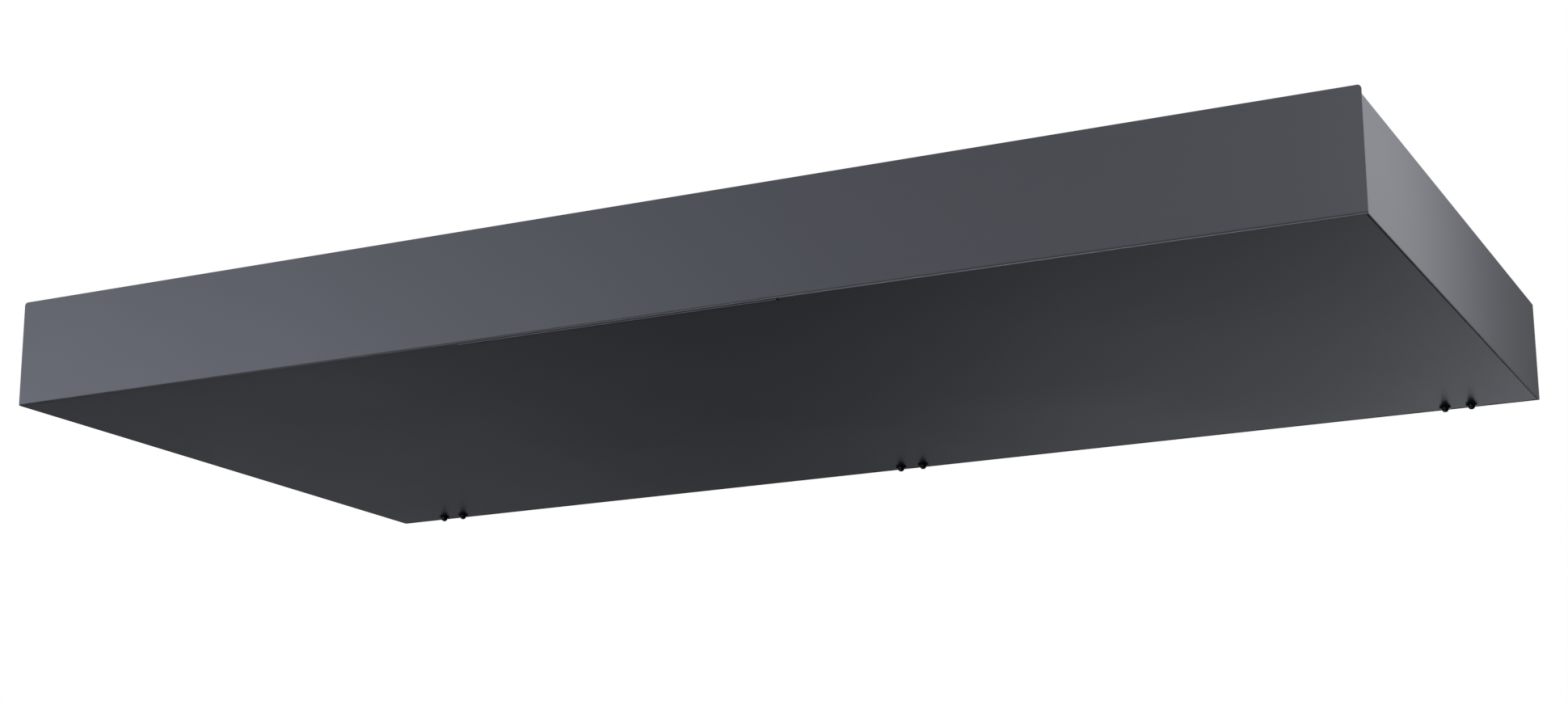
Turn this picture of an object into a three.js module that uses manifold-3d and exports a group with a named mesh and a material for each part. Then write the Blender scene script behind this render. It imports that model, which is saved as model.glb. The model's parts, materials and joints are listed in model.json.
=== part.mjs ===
// A flat island extractor hood that is fixed straight to the ceiling. Its underside is one closing
// panel, hinged along the back, with the grease filters, light, switches and blower behind it.
// Millimetres, +Z up, front towards -Y. The origin is the middle of the ceiling plane.
import * as THREE from "three";
import { mergeVertices } from "three/addons/utils/BufferGeometryUtils.js";
import Module from "manifold-3d";

// ---- Driving dimensions ----------------------------------------------------------------------

const LENGTH = 1200; // casing, along X
const DEPTH = 602; // casing, along Y
const HEIGHT = 94.2; // ceiling to underside, which is the front panel's height
const UPSTAND = 6.6; // how far the front panel stands above the rest of the casing
const SKIRT = 1.2; // sheet of the front, back and side panels
const SHEET = 1.2; // sheet of everything else that is folded from sheet
const FIT = 0.3; // clearance between fixed pieces that touch

const CORNER_RADIUS = 3; // front panel's top corners
const CEILING_FLANGE = 15; // front panel's return along the ceiling
const FLANGE_INSET = 12; // from the casing's ends to that return
const TAB_WIDTH = 12; // side panels' end tabs, which lie behind the front and back panels
const TAB_BOTTOM = 22; // the tabs start above the closing panel's swing
const PLATE_FLANGE = 15; // top plate's turned-down edges
const CORNER_NOTCH = 20; // what the turned edges of the top plate and filter frame leave at each corner

const RAIL_INSET = 150; // hanging rails, from the casing's ends
const RAIL_MARGIN = 40; // hanging rails, from the front and back
const RAIL_SHEET = 1.5;
const RAIL_CROWN = 34;
const RAIL_FOOT = 14;
const KEYHOLE_INSET = 80; // from the rail's ends to the keyholes
const KEYHOLE_RADIUS = 6;
const KEYHOLE_SLOT = 6;
const KEYHOLE_LENGTH = 14;

const PANEL_GAP = 1; // closing panel to the front and side panels
const PANEL_REAR_GAP = 2.3; // closing panel to the back panel, for the swing of its rear edge
const PANEL_RETURN = 12; // height of its turned-up edges
const PANEL_LIP = 10; // inward lip on its front return, which the magnets hold
const RIB_X = 265;
const RIB_CROWN = 22;
const RIB_FOOT = 10;
const RIB_HEIGHT = 8;
const RIB_MARGIN = [14, 40]; // from the casing's front and back

const LIP_LENGTH = 288; // pull lip, along the front edge
const LIP_DROP = 1; // how far it hangs below the underside
const LIP_FLANGE = 20;
const NOTCH_DEPTH = 5; // finger slot behind the pull lip
const NOTCH_SIDE = 1; // from the pull lip's ends to the notch's ends

const HINGE_INSET = 69; // outer hinges, from the casing's ends
const HINGE_SETBACK = 15; // hinge axis, from the casing's back
const HINGE_LEVEL = 6; // hinge axis above the underside
const HINGE_WIDTH = 52;
const HINGE_SHEET = 1.5;
const KNUCKLE_RADIUS = 2.7;
const KNUCKLE_WIDTH = 15; // the leaf's middle knuckle
const ARM_WIDTH = 10; // each of the bracket's two arms
const ARM_SHEET = 2.4;
const BRACKET_LEVEL = 20; // bracket's foot, above the swing of the panel's rear edge
const LEAF_REACH = 18; // the leaf in front of the axis
const LEAF_TAIL = 10; // the leaf behind the axis
const PIN_RADIUS = 1.5;

const SCREW_SETBACK = 12; // panel screws, from the casing's back
const SCREW_PITCH = 23.4; // between the two screws of a hinge
const SCREW_RADIUS = 1.9;
const SCREW_TIP = 4; // above the underside
const SCREW_FLANGE_RADIUS = 5.2;
const SCREW_FLANGE = 1;
const SCREW_DOME_RADIUS = 3.1;
const SCREW_DOME = 3.5;

const MAGNET = { length: 40, width: 12, height: 12, inset: 100 };

const FRAME_LEVEL = 30.3; // underside of the filter frame's plate
const FRAME_FLANGE = 12; // its turned-up edges
const FRONT_ZONE = 96; // from the casing's front to the filters
const REAR_ZONE = 66; // from the filters to the casing's back
const SIDE_ZONE = 66; // from the casing's ends to the filters
const FILTER_WEB = 24; // between two filters
const FILTER_THICKNESS = 10;
const FILTER_SHEET = 1; // channel of the filter's rim
const FILTER_RIM = 12;
const FILTER_FRONT_RIM = 24; // the rim that holds the latch
const FRAME_OVERLAP = 10; // the frame's plate over each filter's rim
const LEDGE_REACH = 6; // ledge under each filter's back rim
const LEDGE_LENGTH = 240;

const MESH_SEAT = 2; // how far the mesh reaches under the front rim
const LATCH = { width: 20, length: 21, thickness: 3, level: 24, throw: 5 };
const THUMB_TAB = { width: 14, length: 8, start: 5, drop: 2 }; // under the latch's bolt
const KEEPER_WIDTH = 40;
const KEEPER_BOTTOM = 21;

const BLOWER_BOTTOM = 46; // above the underside, for the blower, outlet box and control box
const WHEEL_RADIUS = 100;
const BLADE_DEPTH = 18;
const BLADE_COUNT = 24;
const BLADE_SHEET = 1.2;
const WHEEL_GAP = [3, 4]; // impeller to the housing's floor and roof
const SCROLL_START = 108; // scroll radius at the tongue
const SCROLL_END = 150; // scroll radius where the outlet begins
const TONGUE_Y = 54;
const OUTLET_REACH = 150; // blower axis to the end of its outlet
const INLET_RADIUS = 76;
const MOTOR_RADIUS = 40;
const MOTOR_GAP = 4; // motor to the dished wheel around it
const SHAFT_RADIUS = 4;
const LEAD_HOLE = 12; // for the motor's leads, in the housing's roof

const DUCT_RADIUS = 73.5; // bore of the collar, whose outside enters a 150 mm duct
const COLLAR_RISE = 45;
const COLLAR_FLANGE = 18;
const FLAP_LEVEL = 17.5; // above the collar's foot
const FLAP_SHEET = 1;
const FLAP_PIN_LEVEL = 20;
const FLAP_CLEARANCE = 2; // flap to the bore
const SLEEVE_RADIUS = 3;
const LEDGE_WIDTH = 4;
const BOX_MARGIN = 10; // outlet box beyond the bore
const BOX_LEFT = 100; // from the bore's axis to the outlet box's blower side

const LIGHT = { length: 360, width: 36, level: 19, lens: 2, board: 1.6 };
const FASCIA = { length: 150, width: 36, level: 18, wall: 1.5, inset: 225, setback: 36 };
const BUTTON = { count: 4, pitch: 32, radius: 7, flange: 8.5, proud: 3 };
const CONTROL = { toRail: 120, length: 170, width: 120 }; // control box, from the right hanging rail
const CIRCUIT = { board: 1.6, inset: 6, standoff: 10, partGap: 6 }; // in the control box
const GLAND = { y: 35, bore: 4, sleeve: 7.5, flange: 11, rise: 10, nut: 5 };

// ---- Places that follow from them. Heights are above the underside. --------------------------

const HALF_LENGTH = LENGTH / 2;
const HALF_DEPTH = DEPTH / 2;
const CASING_TOP = HEIGHT - UPSTAND;
const INNER_X = HALF_LENGTH - SKIRT; // inner face of the side panels
const INNER_Y = HALF_DEPTH - SKIRT; // inner face of the front and back panels
const PLATE_BOTTOM = CASING_TOP - SHEET;
const HUNG_TOP = PLATE_BOTTOM - FIT; // what hangs under the top plate
const FRAME_TOP = FRAME_LEVEL + SHEET;
const UNDER_FRAME = FRAME_LEVEL - FIT; // what hangs under the filter frame

const HINGE_Y = HALF_DEPTH - HINGE_SETBACK;
const HINGE_PLACES = { left: HINGE_INSET - HALF_LENGTH, middle: 0, right: HALF_LENGTH - HINGE_INSET };

const FILTER_FRONT = FRONT_ZONE - HALF_DEPTH;
const FILTER_BACK = HALF_DEPTH - REAR_ZONE;
const FILTER_WIDTH = (LENGTH - 2 * SIDE_ZONE - 2 * FILTER_WEB) / 3;
const FILTER_PITCH = FILTER_WIDTH + FILTER_WEB;
const FILTER_PLACES = { left: -FILTER_PITCH, middle: 0, right: FILTER_PITCH };
const FILTER_BOTTOM = UNDER_FRAME - FILTER_THICKNESS;

const FRONT_FITTINGS_Y = FASCIA.setback - HALF_DEPTH;
const FASCIA_X = HALF_LENGTH - FASCIA.inset;
const CONTROL_X = HALF_LENGTH - RAIL_INSET - CONTROL.toRail;
const BLOWER_X = -(BOX_LEFT + FIT + OUTLET_REACH);
const BLOWER_Y = -(TONGUE_Y + SCROLL_END) / 2; // so that its outlet faces the collar's axis

// ---- Finishes --------------------------------------------------------------------------------

function finish(color, roughness, metalness) {
  return new THREE.MeshStandardMaterial({ color, roughness, metalness, flatShading: true });
}

const GRAPHITE_COAT = finish(0x5c5e64, 0.42, 0.3);
const GALVANISED = finish(0xa9adb0, 0.45, 0.9);
const ALUMINIUM = finish(0xb9bcc0, 0.35, 0.95);
const BLACK_STEEL = finish(0x17181b, 0.4, 0.6);
const ZINC_STEEL = finish(0x9a9ea3, 0.35, 0.95);
const BLACK_PLASTIC = finish(0x1c1d1f, 0.55, 0);
const GREY_PLASTIC = finish(0x6f7276, 0.5, 0);
const FERRITE = finish(0x2b2a2a, 0.7, 0.1);
const OPAL = finish(0xf0efe9, 0.3, 0);
const BOARD = finish(0x1f6a43, 0.5, 0);

// ---- Solids ----------------------------------------------------------------------------------

const wasm = await Module();
wasm.setup();

const GRID = 1 / 1024; // vertices keep to a grid that 32-bit numbers hold, so flush faces stay flush

// A closed three.js geometry as a solid that can be joined and cut.
function solid(geometry) {
  geometry.deleteAttribute("normal");
  geometry.deleteAttribute("uv");
  const places = geometry.attributes.position.array;
  places.forEach((place, i) => {
    places[i] = Math.round(place / GRID) * GRID;
  });
  const merged = mergeVertices(geometry, 1e-4);
  const corners = merged.index.array;
  const kept = [];
  for (let i = 0; i < corners.length; i += 3) {
    const [a, b, c] = [corners[i], corners[i + 1], corners[i + 2]];
    if (a !== b && b !== c && c !== a) kept.push(a, b, c);
  }
  return new wasm.Manifold(new wasm.Mesh({
    numProp: 3,
    vertProperties: merged.attributes.position.array,
    triVerts: new Uint32Array(kept),
  }));
}

function block([x0, x1], [y0, y1], [z0, z1]) {
  const geometry = new THREE.BoxGeometry(x1 - x0, y1 - y0, z1 - z0);
  return solid(geometry.translate((x0 + x1) / 2, (y0 + y1) / 2, (z0 + z1) / 2));
}

// A round bar along Z, X or Y. `at` is where its axis crosses the plane across it.
function barZ(radius, [z0, z1], at = [0, 0], sides = 24) {
  const geometry = new THREE.CylinderGeometry(radius, radius, z1 - z0, sides).rotateX(Math.PI / 2);
  return solid(geometry.translate(at[0], at[1], (z0 + z1) / 2));
}

function barX(radius, [x0, x1], at = [0, 0], sides = 12) {
  const geometry = new THREE.CylinderGeometry(radius, radius, x1 - x0, sides).rotateZ(Math.PI / 2);
  return solid(geometry.translate((x0 + x1) / 2, at[0], at[1]));
}

function barY(radius, [y0, y1], at = [0, 0], sides = 12) {
  const geometry = new THREE.CylinderGeometry(radius, radius, y1 - y0, sides);
  return solid(geometry.translate(at[0], (y0 + y1) / 2, at[1]));
}

// A turned piece about Z from a closed profile of [radius, height] points.
function turned(profile, sides = 36) {
  const points = profile.map(([radius, height]) => new THREE.Vector2(radius, height));
  if (THREE.ShapeUtils.area(points) > 0) points.reverse();
  if (!points[0].equals(points.at(-1))) points.push(points[0].clone());
  return solid(new THREE.LatheGeometry(points.reverse(), sides).rotateX(Math.PI / 2));
}

// `outline` is a THREE.Shape or a list of points.
function extruded(outline, depth) {
  const points = outline instanceof THREE.Shape ? null : outline.map(([a, b]) => new THREE.Vector2(a, b));
  const shape = points ? new THREE.Shape(points) : outline;
  return new THREE.ExtrudeGeometry(shape, { depth, bevelEnabled: false, curveSegments: 4 });
}

const X = new THREE.Vector3(1, 0, 0);
const Y = new THREE.Vector3(0, 1, 0);
const Z = new THREE.Vector3(0, 0, 1);
const BACKWARDS = new THREE.Vector3(0, -1, 0);

function alongZ(outline, [z0, z1]) {
  return solid(extruded(outline, z1 - z0).translate(0, 0, z0));
}

// A profile of [y, z] points, carried along X.
function alongX(outline, [x0, x1]) {
  const turn = new THREE.Matrix4().makeBasis(Y, Z, X);
  return solid(extruded(outline, x1 - x0).applyMatrix4(turn).translate(x0, 0, 0));
}

// A profile of [x, z] points, carried along Y.
function alongY(outline, [y0, y1]) {
  const turn = new THREE.Matrix4().makeBasis(X, Z, BACKWARDS);
  return solid(extruded(outline, y1 - y0).applyMatrix4(turn).translate(0, y1, 0));
}

function joined(...solids) {
  return solids.reduce((whole, next) => whole.add(next));
}

function cut(whole, ...tools) {
  return tools.reduce((left, tool) => left.subtract(tool), whole);
}

function both(half) {
  return [-half, half];
}

// ---- The scene -------------------------------------------------------------------------------

const hood = new THREE.Group(); // its zero height is the underside, the ceiling is HEIGHT above it
hood.position.z = -HEIGHT;

function group(x = 0, y = 0, z = 0, parent = hood) {
  const made = new THREE.Group();
  made.position.set(x, y, z);
  parent.add(made);
  return made;
}

function piece(name, shape, material, parent = hood) {
  const { vertProperties, triVerts } = shape.getMesh();
  const geometry = new THREE.BufferGeometry();
  geometry.setAttribute("position", new THREE.BufferAttribute(vertProperties, 3));
  geometry.setIndex(new THREE.BufferAttribute(triVerts, 1));
  geometry.computeVertexNormals();
  const mesh = new THREE.Mesh(geometry, material);
  mesh.name = name;
  parent.add(mesh);
  return mesh;
}

// ---- Casing ----------------------------------------------------------------------------------

function frontPanel() {
  const face = new THREE.Shape();
  face.moveTo(-HALF_LENGTH, 0);
  face.lineTo(HALF_LENGTH, 0);
  face.lineTo(HALF_LENGTH, HEIGHT - CORNER_RADIUS);
  face.absarc(HALF_LENGTH - CORNER_RADIUS, HEIGHT - CORNER_RADIUS, CORNER_RADIUS, 0, Math.PI / 2);
  face.absarc(CORNER_RADIUS - HALF_LENGTH, HEIGHT - CORNER_RADIUS, CORNER_RADIUS, Math.PI / 2, Math.PI);
  const sheet = alongY(face, [-HALF_DEPTH, -INNER_Y]);
  const flange = block(
    both(HALF_LENGTH - FLANGE_INSET),
    [-HALF_DEPTH, CEILING_FLANGE - HALF_DEPTH],
    [HEIGHT - SKIRT, HEIGHT],
  );
  return joined(sheet, flange);
}

function backPanel() {
  return block(both(HALF_LENGTH), [INNER_Y, HALF_DEPTH], [0, CASING_TOP]);
}

// A side panel with its outer face at x = 0 and its inside towards `inward` X.
function sidePanel(inward) {
  const across = (near, far) => (inward > 0 ? [near, far] : [-far, -near]);
  const end = INNER_Y - FIT;
  const tabHeights = [TAB_BOTTOM, PLATE_BOTTOM - PLATE_FLANGE - FIT];
  const tab = (y0, y1) => block(across(0, SKIRT + TAB_WIDTH), [y0, y1], tabHeights);
  return joined(
    block(across(0, SKIRT), both(end), [0, CASING_TOP]),
    tab(-end, SKIRT - end),
    tab(end - SKIRT, end),
  );
}

// A plate inside the casing with edges that turn `edge` up or down. The edges stop short of the
// corners, and the plate itself does too by `notch`, for the side panels' tabs.
function flangedPlate(bottom, edge, notch) {
  const x = INNER_X - FIT;
  const y = INNER_Y - FIT;
  const sheet = [bottom, bottom + SHEET];
  const heights = edge > 0 ? [bottom, bottom + SHEET + edge] : [bottom + edge, bottom + SHEET];
  const solids = [block(both(x), both(y - notch), sheet), block(both(x - notch), both(y), sheet)];
  for (const side of [-1, 1]) {
    const alongEnds = side > 0 ? [x - SHEET, x] : [-x, SHEET - x];
    const alongSides = side > 0 ? [y - SHEET, y] : [-y, SHEET - y];
    solids.push(block(alongEnds, both(y - CORNER_NOTCH), heights));
    solids.push(block(both(x - CORNER_NOTCH), alongSides, heights));
  }
  return joined(...solids);
}

function topPlate() {
  const through = [PLATE_BOTTOM - 1, CASING_TOP + 1];
  return cut(
    flangedPlate(PLATE_BOTTOM, -PLATE_FLANGE, 0),
    barZ(DUCT_RADIUS, through, [0, 0], 36),
    barZ(GLAND.sleeve + FIT, through, [CONTROL_X, GLAND.y]),
  );
}

// A hat-section rail with its feet on the top plate and its crown on the ceiling.
function hangingRail() {
  const crown = RAIL_CROWN / 2;
  const foot = crown + RAIL_FOOT;
  const top = UPSTAND - FIT;
  const half = HALF_DEPTH - RAIL_MARGIN;
  const profile = [
    [-foot, 0], [-crown + RAIL_SHEET, 0], [-crown + RAIL_SHEET, top - RAIL_SHEET],
    [crown - RAIL_SHEET, top - RAIL_SHEET], [crown - RAIL_SHEET, 0], [foot, 0],
    [foot, RAIL_SHEET], [crown, RAIL_SHEET], [crown, top],
    [-crown, top], [-crown, RAIL_SHEET], [-foot, RAIL_SHEET],
  ];
  const through = [top - RAIL_SHEET - 1, top + 1];
  const keyholes = [-1, 1].flatMap((side) => {
    const y = side * (half - KEYHOLE_INSET);
    return [
      barZ(KEYHOLE_RADIUS, through, [0, y], 16),
      block(both(KEYHOLE_SLOT / 2), [y, y + KEYHOLE_RADIUS + KEYHOLE_LENGTH], through),
    ];
  });
  return cut(alongY(profile, both(half)), ...keyholes);
}

const casing = group();
piece("front_panel", frontPanel(), GRAPHITE_COAT, casing);
piece("back_panel", backPanel(), GRAPHITE_COAT, casing);
piece("side_panel_left", sidePanel(1), GRAPHITE_COAT, group(-HALF_LENGTH, 0, 0, casing));
piece("side_panel_right", sidePanel(-1), GRAPHITE_COAT, group(HALF_LENGTH, 0, 0, casing));
piece("top_plate", topPlate(), GALVANISED, casing);
for (const [side, sign] of Object.entries({ left: -1, right: 1 })) {
  const at = group(sign * (HALF_LENGTH - RAIL_INSET), 0, CASING_TOP + FIT, casing);
  piece(`hanging_rail_${side}`, hangingRail(), ZINC_STEEL, at);
}

// ---- Closing panel ---------------------------------------------------------------------------

const PANEL_X = INNER_X - PANEL_GAP;
const PANEL_FRONT = PANEL_GAP - INNER_Y;
const PANEL_BACK = INNER_Y - PANEL_REAR_GAP;
const SCREW_Y = HALF_DEPTH - SCREW_SETBACK;

function screwPlaces() {
  return Object.values(HINGE_PLACES).flatMap((x) => [x - SCREW_PITCH / 2, x + SCREW_PITCH / 2]);
}

function closingPanel() {
  const notch = LIP_LENGTH / 2 + NOTCH_SIDE;
  const edge = [
    [PANEL_FRONT, 0], [PANEL_BACK, 0], [PANEL_BACK, SHEET], [PANEL_FRONT + SHEET, SHEET],
    [PANEL_FRONT + SHEET, PANEL_RETURN - SHEET], [PANEL_FRONT + PANEL_LIP, PANEL_RETURN - SHEET],
    [PANEL_FRONT + PANEL_LIP, PANEL_RETURN], [PANEL_FRONT, PANEL_RETURN],
  ];
  const sideReturn = (x0, x1) => block([x0, x1], [PANEL_FRONT, PANEL_BACK], [0, PANEL_RETURN]);
  const holeHeights = [-1, SHEET + 1];
  return cut(
    joined(
      alongX(edge, both(PANEL_X)),
      sideReturn(-PANEL_X, SHEET - PANEL_X),
      sideReturn(PANEL_X - SHEET, PANEL_X),
    ),
    block(both(notch), [PANEL_FRONT - 1, PANEL_FRONT + NOTCH_DEPTH], [-1, SHEET + 1]),
    block(both(notch), [PANEL_FRONT - 1, PANEL_FRONT + PANEL_LIP + 1], [SHEET, PANEL_RETURN + 1]),
    ...screwPlaces().map((x) => barZ(SCREW_RADIUS + FIT, holeHeights, [x, SCREW_Y], 16)),
  );
}

// The lip hangs just below the underside and is fixed on the panel's inner face behind the notch.
function pullLip() {
  const seat = SHEET + FIT;
  const profile = [
    [PANEL_FRONT, -LIP_DROP], [PANEL_FRONT + SHEET, -LIP_DROP], [PANEL_FRONT + SHEET, seat],
    [PANEL_FRONT + LIP_FLANGE, seat], [PANEL_FRONT + LIP_FLANGE, seat + SHEET], [PANEL_FRONT, seat + SHEET],
  ];
  return alongX(profile, both(LIP_LENGTH / 2));
}

function panelRib() {
  const crown = RIB_CROWN / 2;
  const foot = crown + RIB_FOOT;
  const profile = [
    [-foot, 0], [-crown + SHEET, 0], [-crown + SHEET, RIB_HEIGHT - SHEET],
    [crown - SHEET, RIB_HEIGHT - SHEET], [crown - SHEET, 0], [foot, 0],
    [foot, SHEET], [crown, SHEET], [crown, RIB_HEIGHT],
    [-crown, RIB_HEIGHT], [-crown, SHEET], [-foot, SHEET],
  ];
  return alongY(profile, [RIB_MARGIN[0] - HALF_DEPTH, HALF_DEPTH - RIB_MARGIN[1]]);
}

// A flanged screw with a domed head below the panel and its tip in the hinge leaf.
function panelScrew() {
  const neck = -FIT - SCREW_FLANGE;
  const profile = [
    [0, SCREW_TIP], [SCREW_RADIUS, SCREW_TIP], [SCREW_RADIUS, -FIT], [SCREW_FLANGE_RADIUS, -FIT],
    [SCREW_FLANGE_RADIUS, -FIT - SCREW_FLANGE / 2], [SCREW_FLANGE_RADIUS - 1, neck],
    [SCREW_DOME_RADIUS, neck],
  ];
  const straight = SCREW_DOME - SCREW_DOME_RADIUS;
  for (const degrees of [0, 30, 60, 90]) {
    const turn = THREE.MathUtils.degToRad(degrees);
    const radius = SCREW_DOME_RADIUS * Math.cos(turn);
    profile.push([degrees === 90 ? 0 : radius, neck - straight - SCREW_DOME_RADIUS * Math.sin(turn)]);
  }
  return turned(profile, 16);
}

const door = group();
piece("closing_panel", closingPanel(), GRAPHITE_COAT, door);
piece("pull_lip", pullLip(), GRAPHITE_COAT, door);
piece("panel_rib_left", panelRib(), GALVANISED, group(-RIB_X, 0, SHEET + FIT, door));
piece("panel_rib_right", panelRib(), GALVANISED, group(RIB_X, 0, SHEET + FIT, door));
screwPlaces().forEach((x, i) => {
  piece(`panel_screw_${i + 1}`, panelScrew(), BLACK_STEEL, group(x, SCREW_Y, 0, door));
});

// ---- Hinges, drawn about their own axis ------------------------------------------------------

const PIN_HOLE = PIN_RADIUS + FIT;
const HINGE_HALF = HINGE_WIDTH / 2;

function hingeLeaf() {
  const bottom = SHEET + FIT - HINGE_LEVEL;
  const across = both(KNUCKLE_WIDTH / 2);
  const whole = joined(
    block(both(HINGE_HALF), [-LEAF_REACH, LEAF_TAIL], [bottom, bottom + HINGE_SHEET]),
    block(across, both(KNUCKLE_RADIUS), [bottom, 0]),
    barX(KNUCKLE_RADIUS, across),
  );
  const holes = [-1, 1].map((side) => {
    const at = [(side * SCREW_PITCH) / 2, HINGE_SETBACK - SCREW_SETBACK];
    return barZ(SCREW_RADIUS + FIT, [bottom - 1, bottom + HINGE_SHEET + 1], at, 16);
  });
  return cut(whole, barX(PIN_HOLE, both(KNUCKLE_WIDTH)), ...holes);
}

function hingeBracket() {
  const back = INNER_Y - FIT - HINGE_Y;
  const foot = BRACKET_LEVEL - HINGE_LEVEL;
  const arms = [-1, 1].flatMap((side) => {
    const across = side < 0 ? [-HINGE_HALF, ARM_WIDTH - HINGE_HALF] : [HINGE_HALF - ARM_WIDTH, HINGE_HALF];
    return [
      barX(KNUCKLE_RADIUS, across),
      block(across, both(ARM_SHEET / 2), [0, foot + HINGE_SHEET]),
    ];
  });
  return cut(
    joined(
      block(both(HINGE_HALF), [-ARM_SHEET / 2, back], [foot, foot + HINGE_SHEET]),
      block(both(HINGE_HALF), [back - HINGE_SHEET, back], [foot, UNDER_FRAME - HINGE_LEVEL]),
      ...arms,
    ),
    barX(PIN_HOLE, both(HINGE_WIDTH)),
  );
}

for (const [place, x] of Object.entries(HINGE_PLACES)) {
  const hinge = group(x, HINGE_Y, HINGE_LEVEL);
  piece(`hinge_bracket_${place}`, hingeBracket(), ZINC_STEEL, hinge);
  piece(`hinge_leaf_${place}`, hingeLeaf(), ZINC_STEEL, hinge);
  piece(`hinge_pin_${place}`, barX(PIN_RADIUS, both(HINGE_HALF + 1)), ZINC_STEEL, hinge);
}

for (const [side, sign] of Object.entries({ left: -1, right: 1 })) {
  const at = group(sign * (HALF_LENGTH - MAGNET.inset), FIT - INNER_Y, PANEL_RETURN + FIT);
  const magnet = block(both(MAGNET.length / 2), [0, MAGNET.width], [0, MAGNET.height]);
  piece(`catch_magnet_${side}`, magnet, FERRITE, at);
}

// ---- Filters ---------------------------------------------------------------------------------

const LATCH_HOLE = {
  half: LATCH.width / 2 + FIT,
  heights: [LATCH.level - FIT, LATCH.level + LATCH.thickness + FIT],
};

function filterFrame() {
  const parts = [flangedPlate(FRAME_LEVEL, FRAME_FLANGE, CORNER_NOTCH)];
  const openings = [];
  for (const x of Object.values(FILTER_PLACES)) {
    const half = FILTER_WIDTH / 2 - FRAME_OVERLAP;
    const ledge = [x - LEDGE_LENGTH / 2, x + LEDGE_LENGTH / 2];
    const ledgeBack = FILTER_BACK + FIT + SHEET;
    const ledgeFoot = FILTER_BOTTOM - FIT - SHEET;
    openings.push(block(
      [x - half, x + half],
      [FILTER_FRONT + FRAME_OVERLAP, FILTER_BACK - FRAME_OVERLAP],
      [FRAME_LEVEL - 1, FRAME_TOP + 1],
    ));
    parts.push(block(ledge, [FILTER_BACK + FIT, ledgeBack], [ledgeFoot, FRAME_TOP]));
    parts.push(block(ledge, [FILTER_BACK - LEDGE_REACH, ledgeBack], [ledgeFoot, ledgeFoot + SHEET]));
    const keeper = block(
      [x - KEEPER_WIDTH / 2, x + KEEPER_WIDTH / 2],
      [FILTER_FRONT - FIT - SHEET, FILTER_FRONT - FIT],
      [KEEPER_BOTTOM, FRAME_TOP],
    );
    parts.push(cut(keeper, block(
      [x - LATCH_HOLE.half, x + LATCH_HOLE.half],
      [FILTER_FRONT - FIT - SHEET - 1, FILTER_FRONT],
      LATCH_HOLE.heights,
    )));
  }
  return cut(joined(...parts), ...openings);
}

// A channel rim that holds the mesh, with a wider front that holds the latch.
function filterCassette() {
  const half = FILTER_WIDTH / 2;
  const top = FILTER_BOTTOM + FILTER_THICKNESS;
  const through = [FILTER_BOTTOM - 1, top + 1];
  const windowY = [FILTER_FRONT + FILTER_FRONT_RIM, FILTER_BACK - FILTER_RIM];
  const slotFront = FILTER_FRONT + THUMB_TAB.start - FIT;
  return cut(
    block(both(half), [FILTER_FRONT, FILTER_BACK], [FILTER_BOTTOM, top]),
    block(
      both(half - FILTER_SHEET),
      [FILTER_FRONT + FILTER_SHEET, FILTER_BACK - FILTER_SHEET],
      [FILTER_BOTTOM + FILTER_SHEET, top - FILTER_SHEET],
    ),
    block(both(half - FILTER_RIM), windowY, through),
    block(both(LATCH_HOLE.half), [FILTER_FRONT - 1, FILTER_FRONT + FILTER_SHEET + 1], LATCH_HOLE.heights),
    block(
      both(THUMB_TAB.width / 2 + FIT),
      [slotFront, slotFront + THUMB_TAB.length + LATCH.throw + 2 * FIT],
      [FILTER_BOTTOM - 1, FILTER_BOTTOM + FILTER_SHEET + 1],
    ),
  );
}

function filterMesh() {
  return block(
    both(FILTER_WIDTH / 2 - FILTER_SHEET - FIT),
    [FILTER_FRONT + FILTER_FRONT_RIM - MESH_SEAT, FILTER_BACK - FILTER_SHEET - FIT],
    [FILTER_BOTTOM + FILTER_SHEET + FIT, FILTER_BOTTOM + FILTER_THICKNESS - FILTER_SHEET - FIT],
  );
}

function filterLatch() {
  const tip = FILTER_FRONT - LATCH.throw;
  const tab = FILTER_FRONT + THUMB_TAB.start;
  return joined(
    block(both(LATCH.width / 2), [tip, tip + LATCH.length], [LATCH.level, LATCH.level + LATCH.thickness]),
    block(
      both(THUMB_TAB.width / 2),
      [tab, tab + THUMB_TAB.length],
      [FILTER_BOTTOM - THUMB_TAB.drop, LATCH.level + LATCH.thickness / 2],
    ),
  );
}

piece("filter_frame", filterFrame(), GALVANISED);
for (const [place, x] of Object.entries(FILTER_PLACES)) {
  const filter = group(x);
  piece(`filter_cassette_${place}`, filterCassette(), ALUMINIUM, filter);
  piece(`filter_mesh_${place}`, filterMesh(), ALUMINIUM, filter);
  piece(`filter_latch_${place}`, filterLatch(), BLACK_PLASTIC, filter);
}

// ---- Blower, drawn about the impeller's axis -------------------------------------------------

// The scroll's plan, `wall` inside its outer face. It opens clockwise from the tongue to the back,
// then runs straight to the outlet.
function scrollPlan(wall, outletX) {
  const steps = 30;
  const tongueY = TONGUE_Y + wall;
  const tongueTurn = Math.asin(tongueY / (SCROLL_START - wall));
  const sweep = 1.5 * Math.PI + tongueTurn;
  const points = [];
  for (let i = 0; i <= steps; i++) {
    const turn = tongueTurn - (sweep * i) / steps;
    const radius = SCROLL_START + ((SCROLL_END - SCROLL_START) * i) / steps - wall;
    points.push([radius * Math.cos(turn), radius * Math.sin(turn)]);
  }
  points.push([outletX, SCROLL_END - wall], [outletX, tongueY]);
  return points;
}

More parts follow.
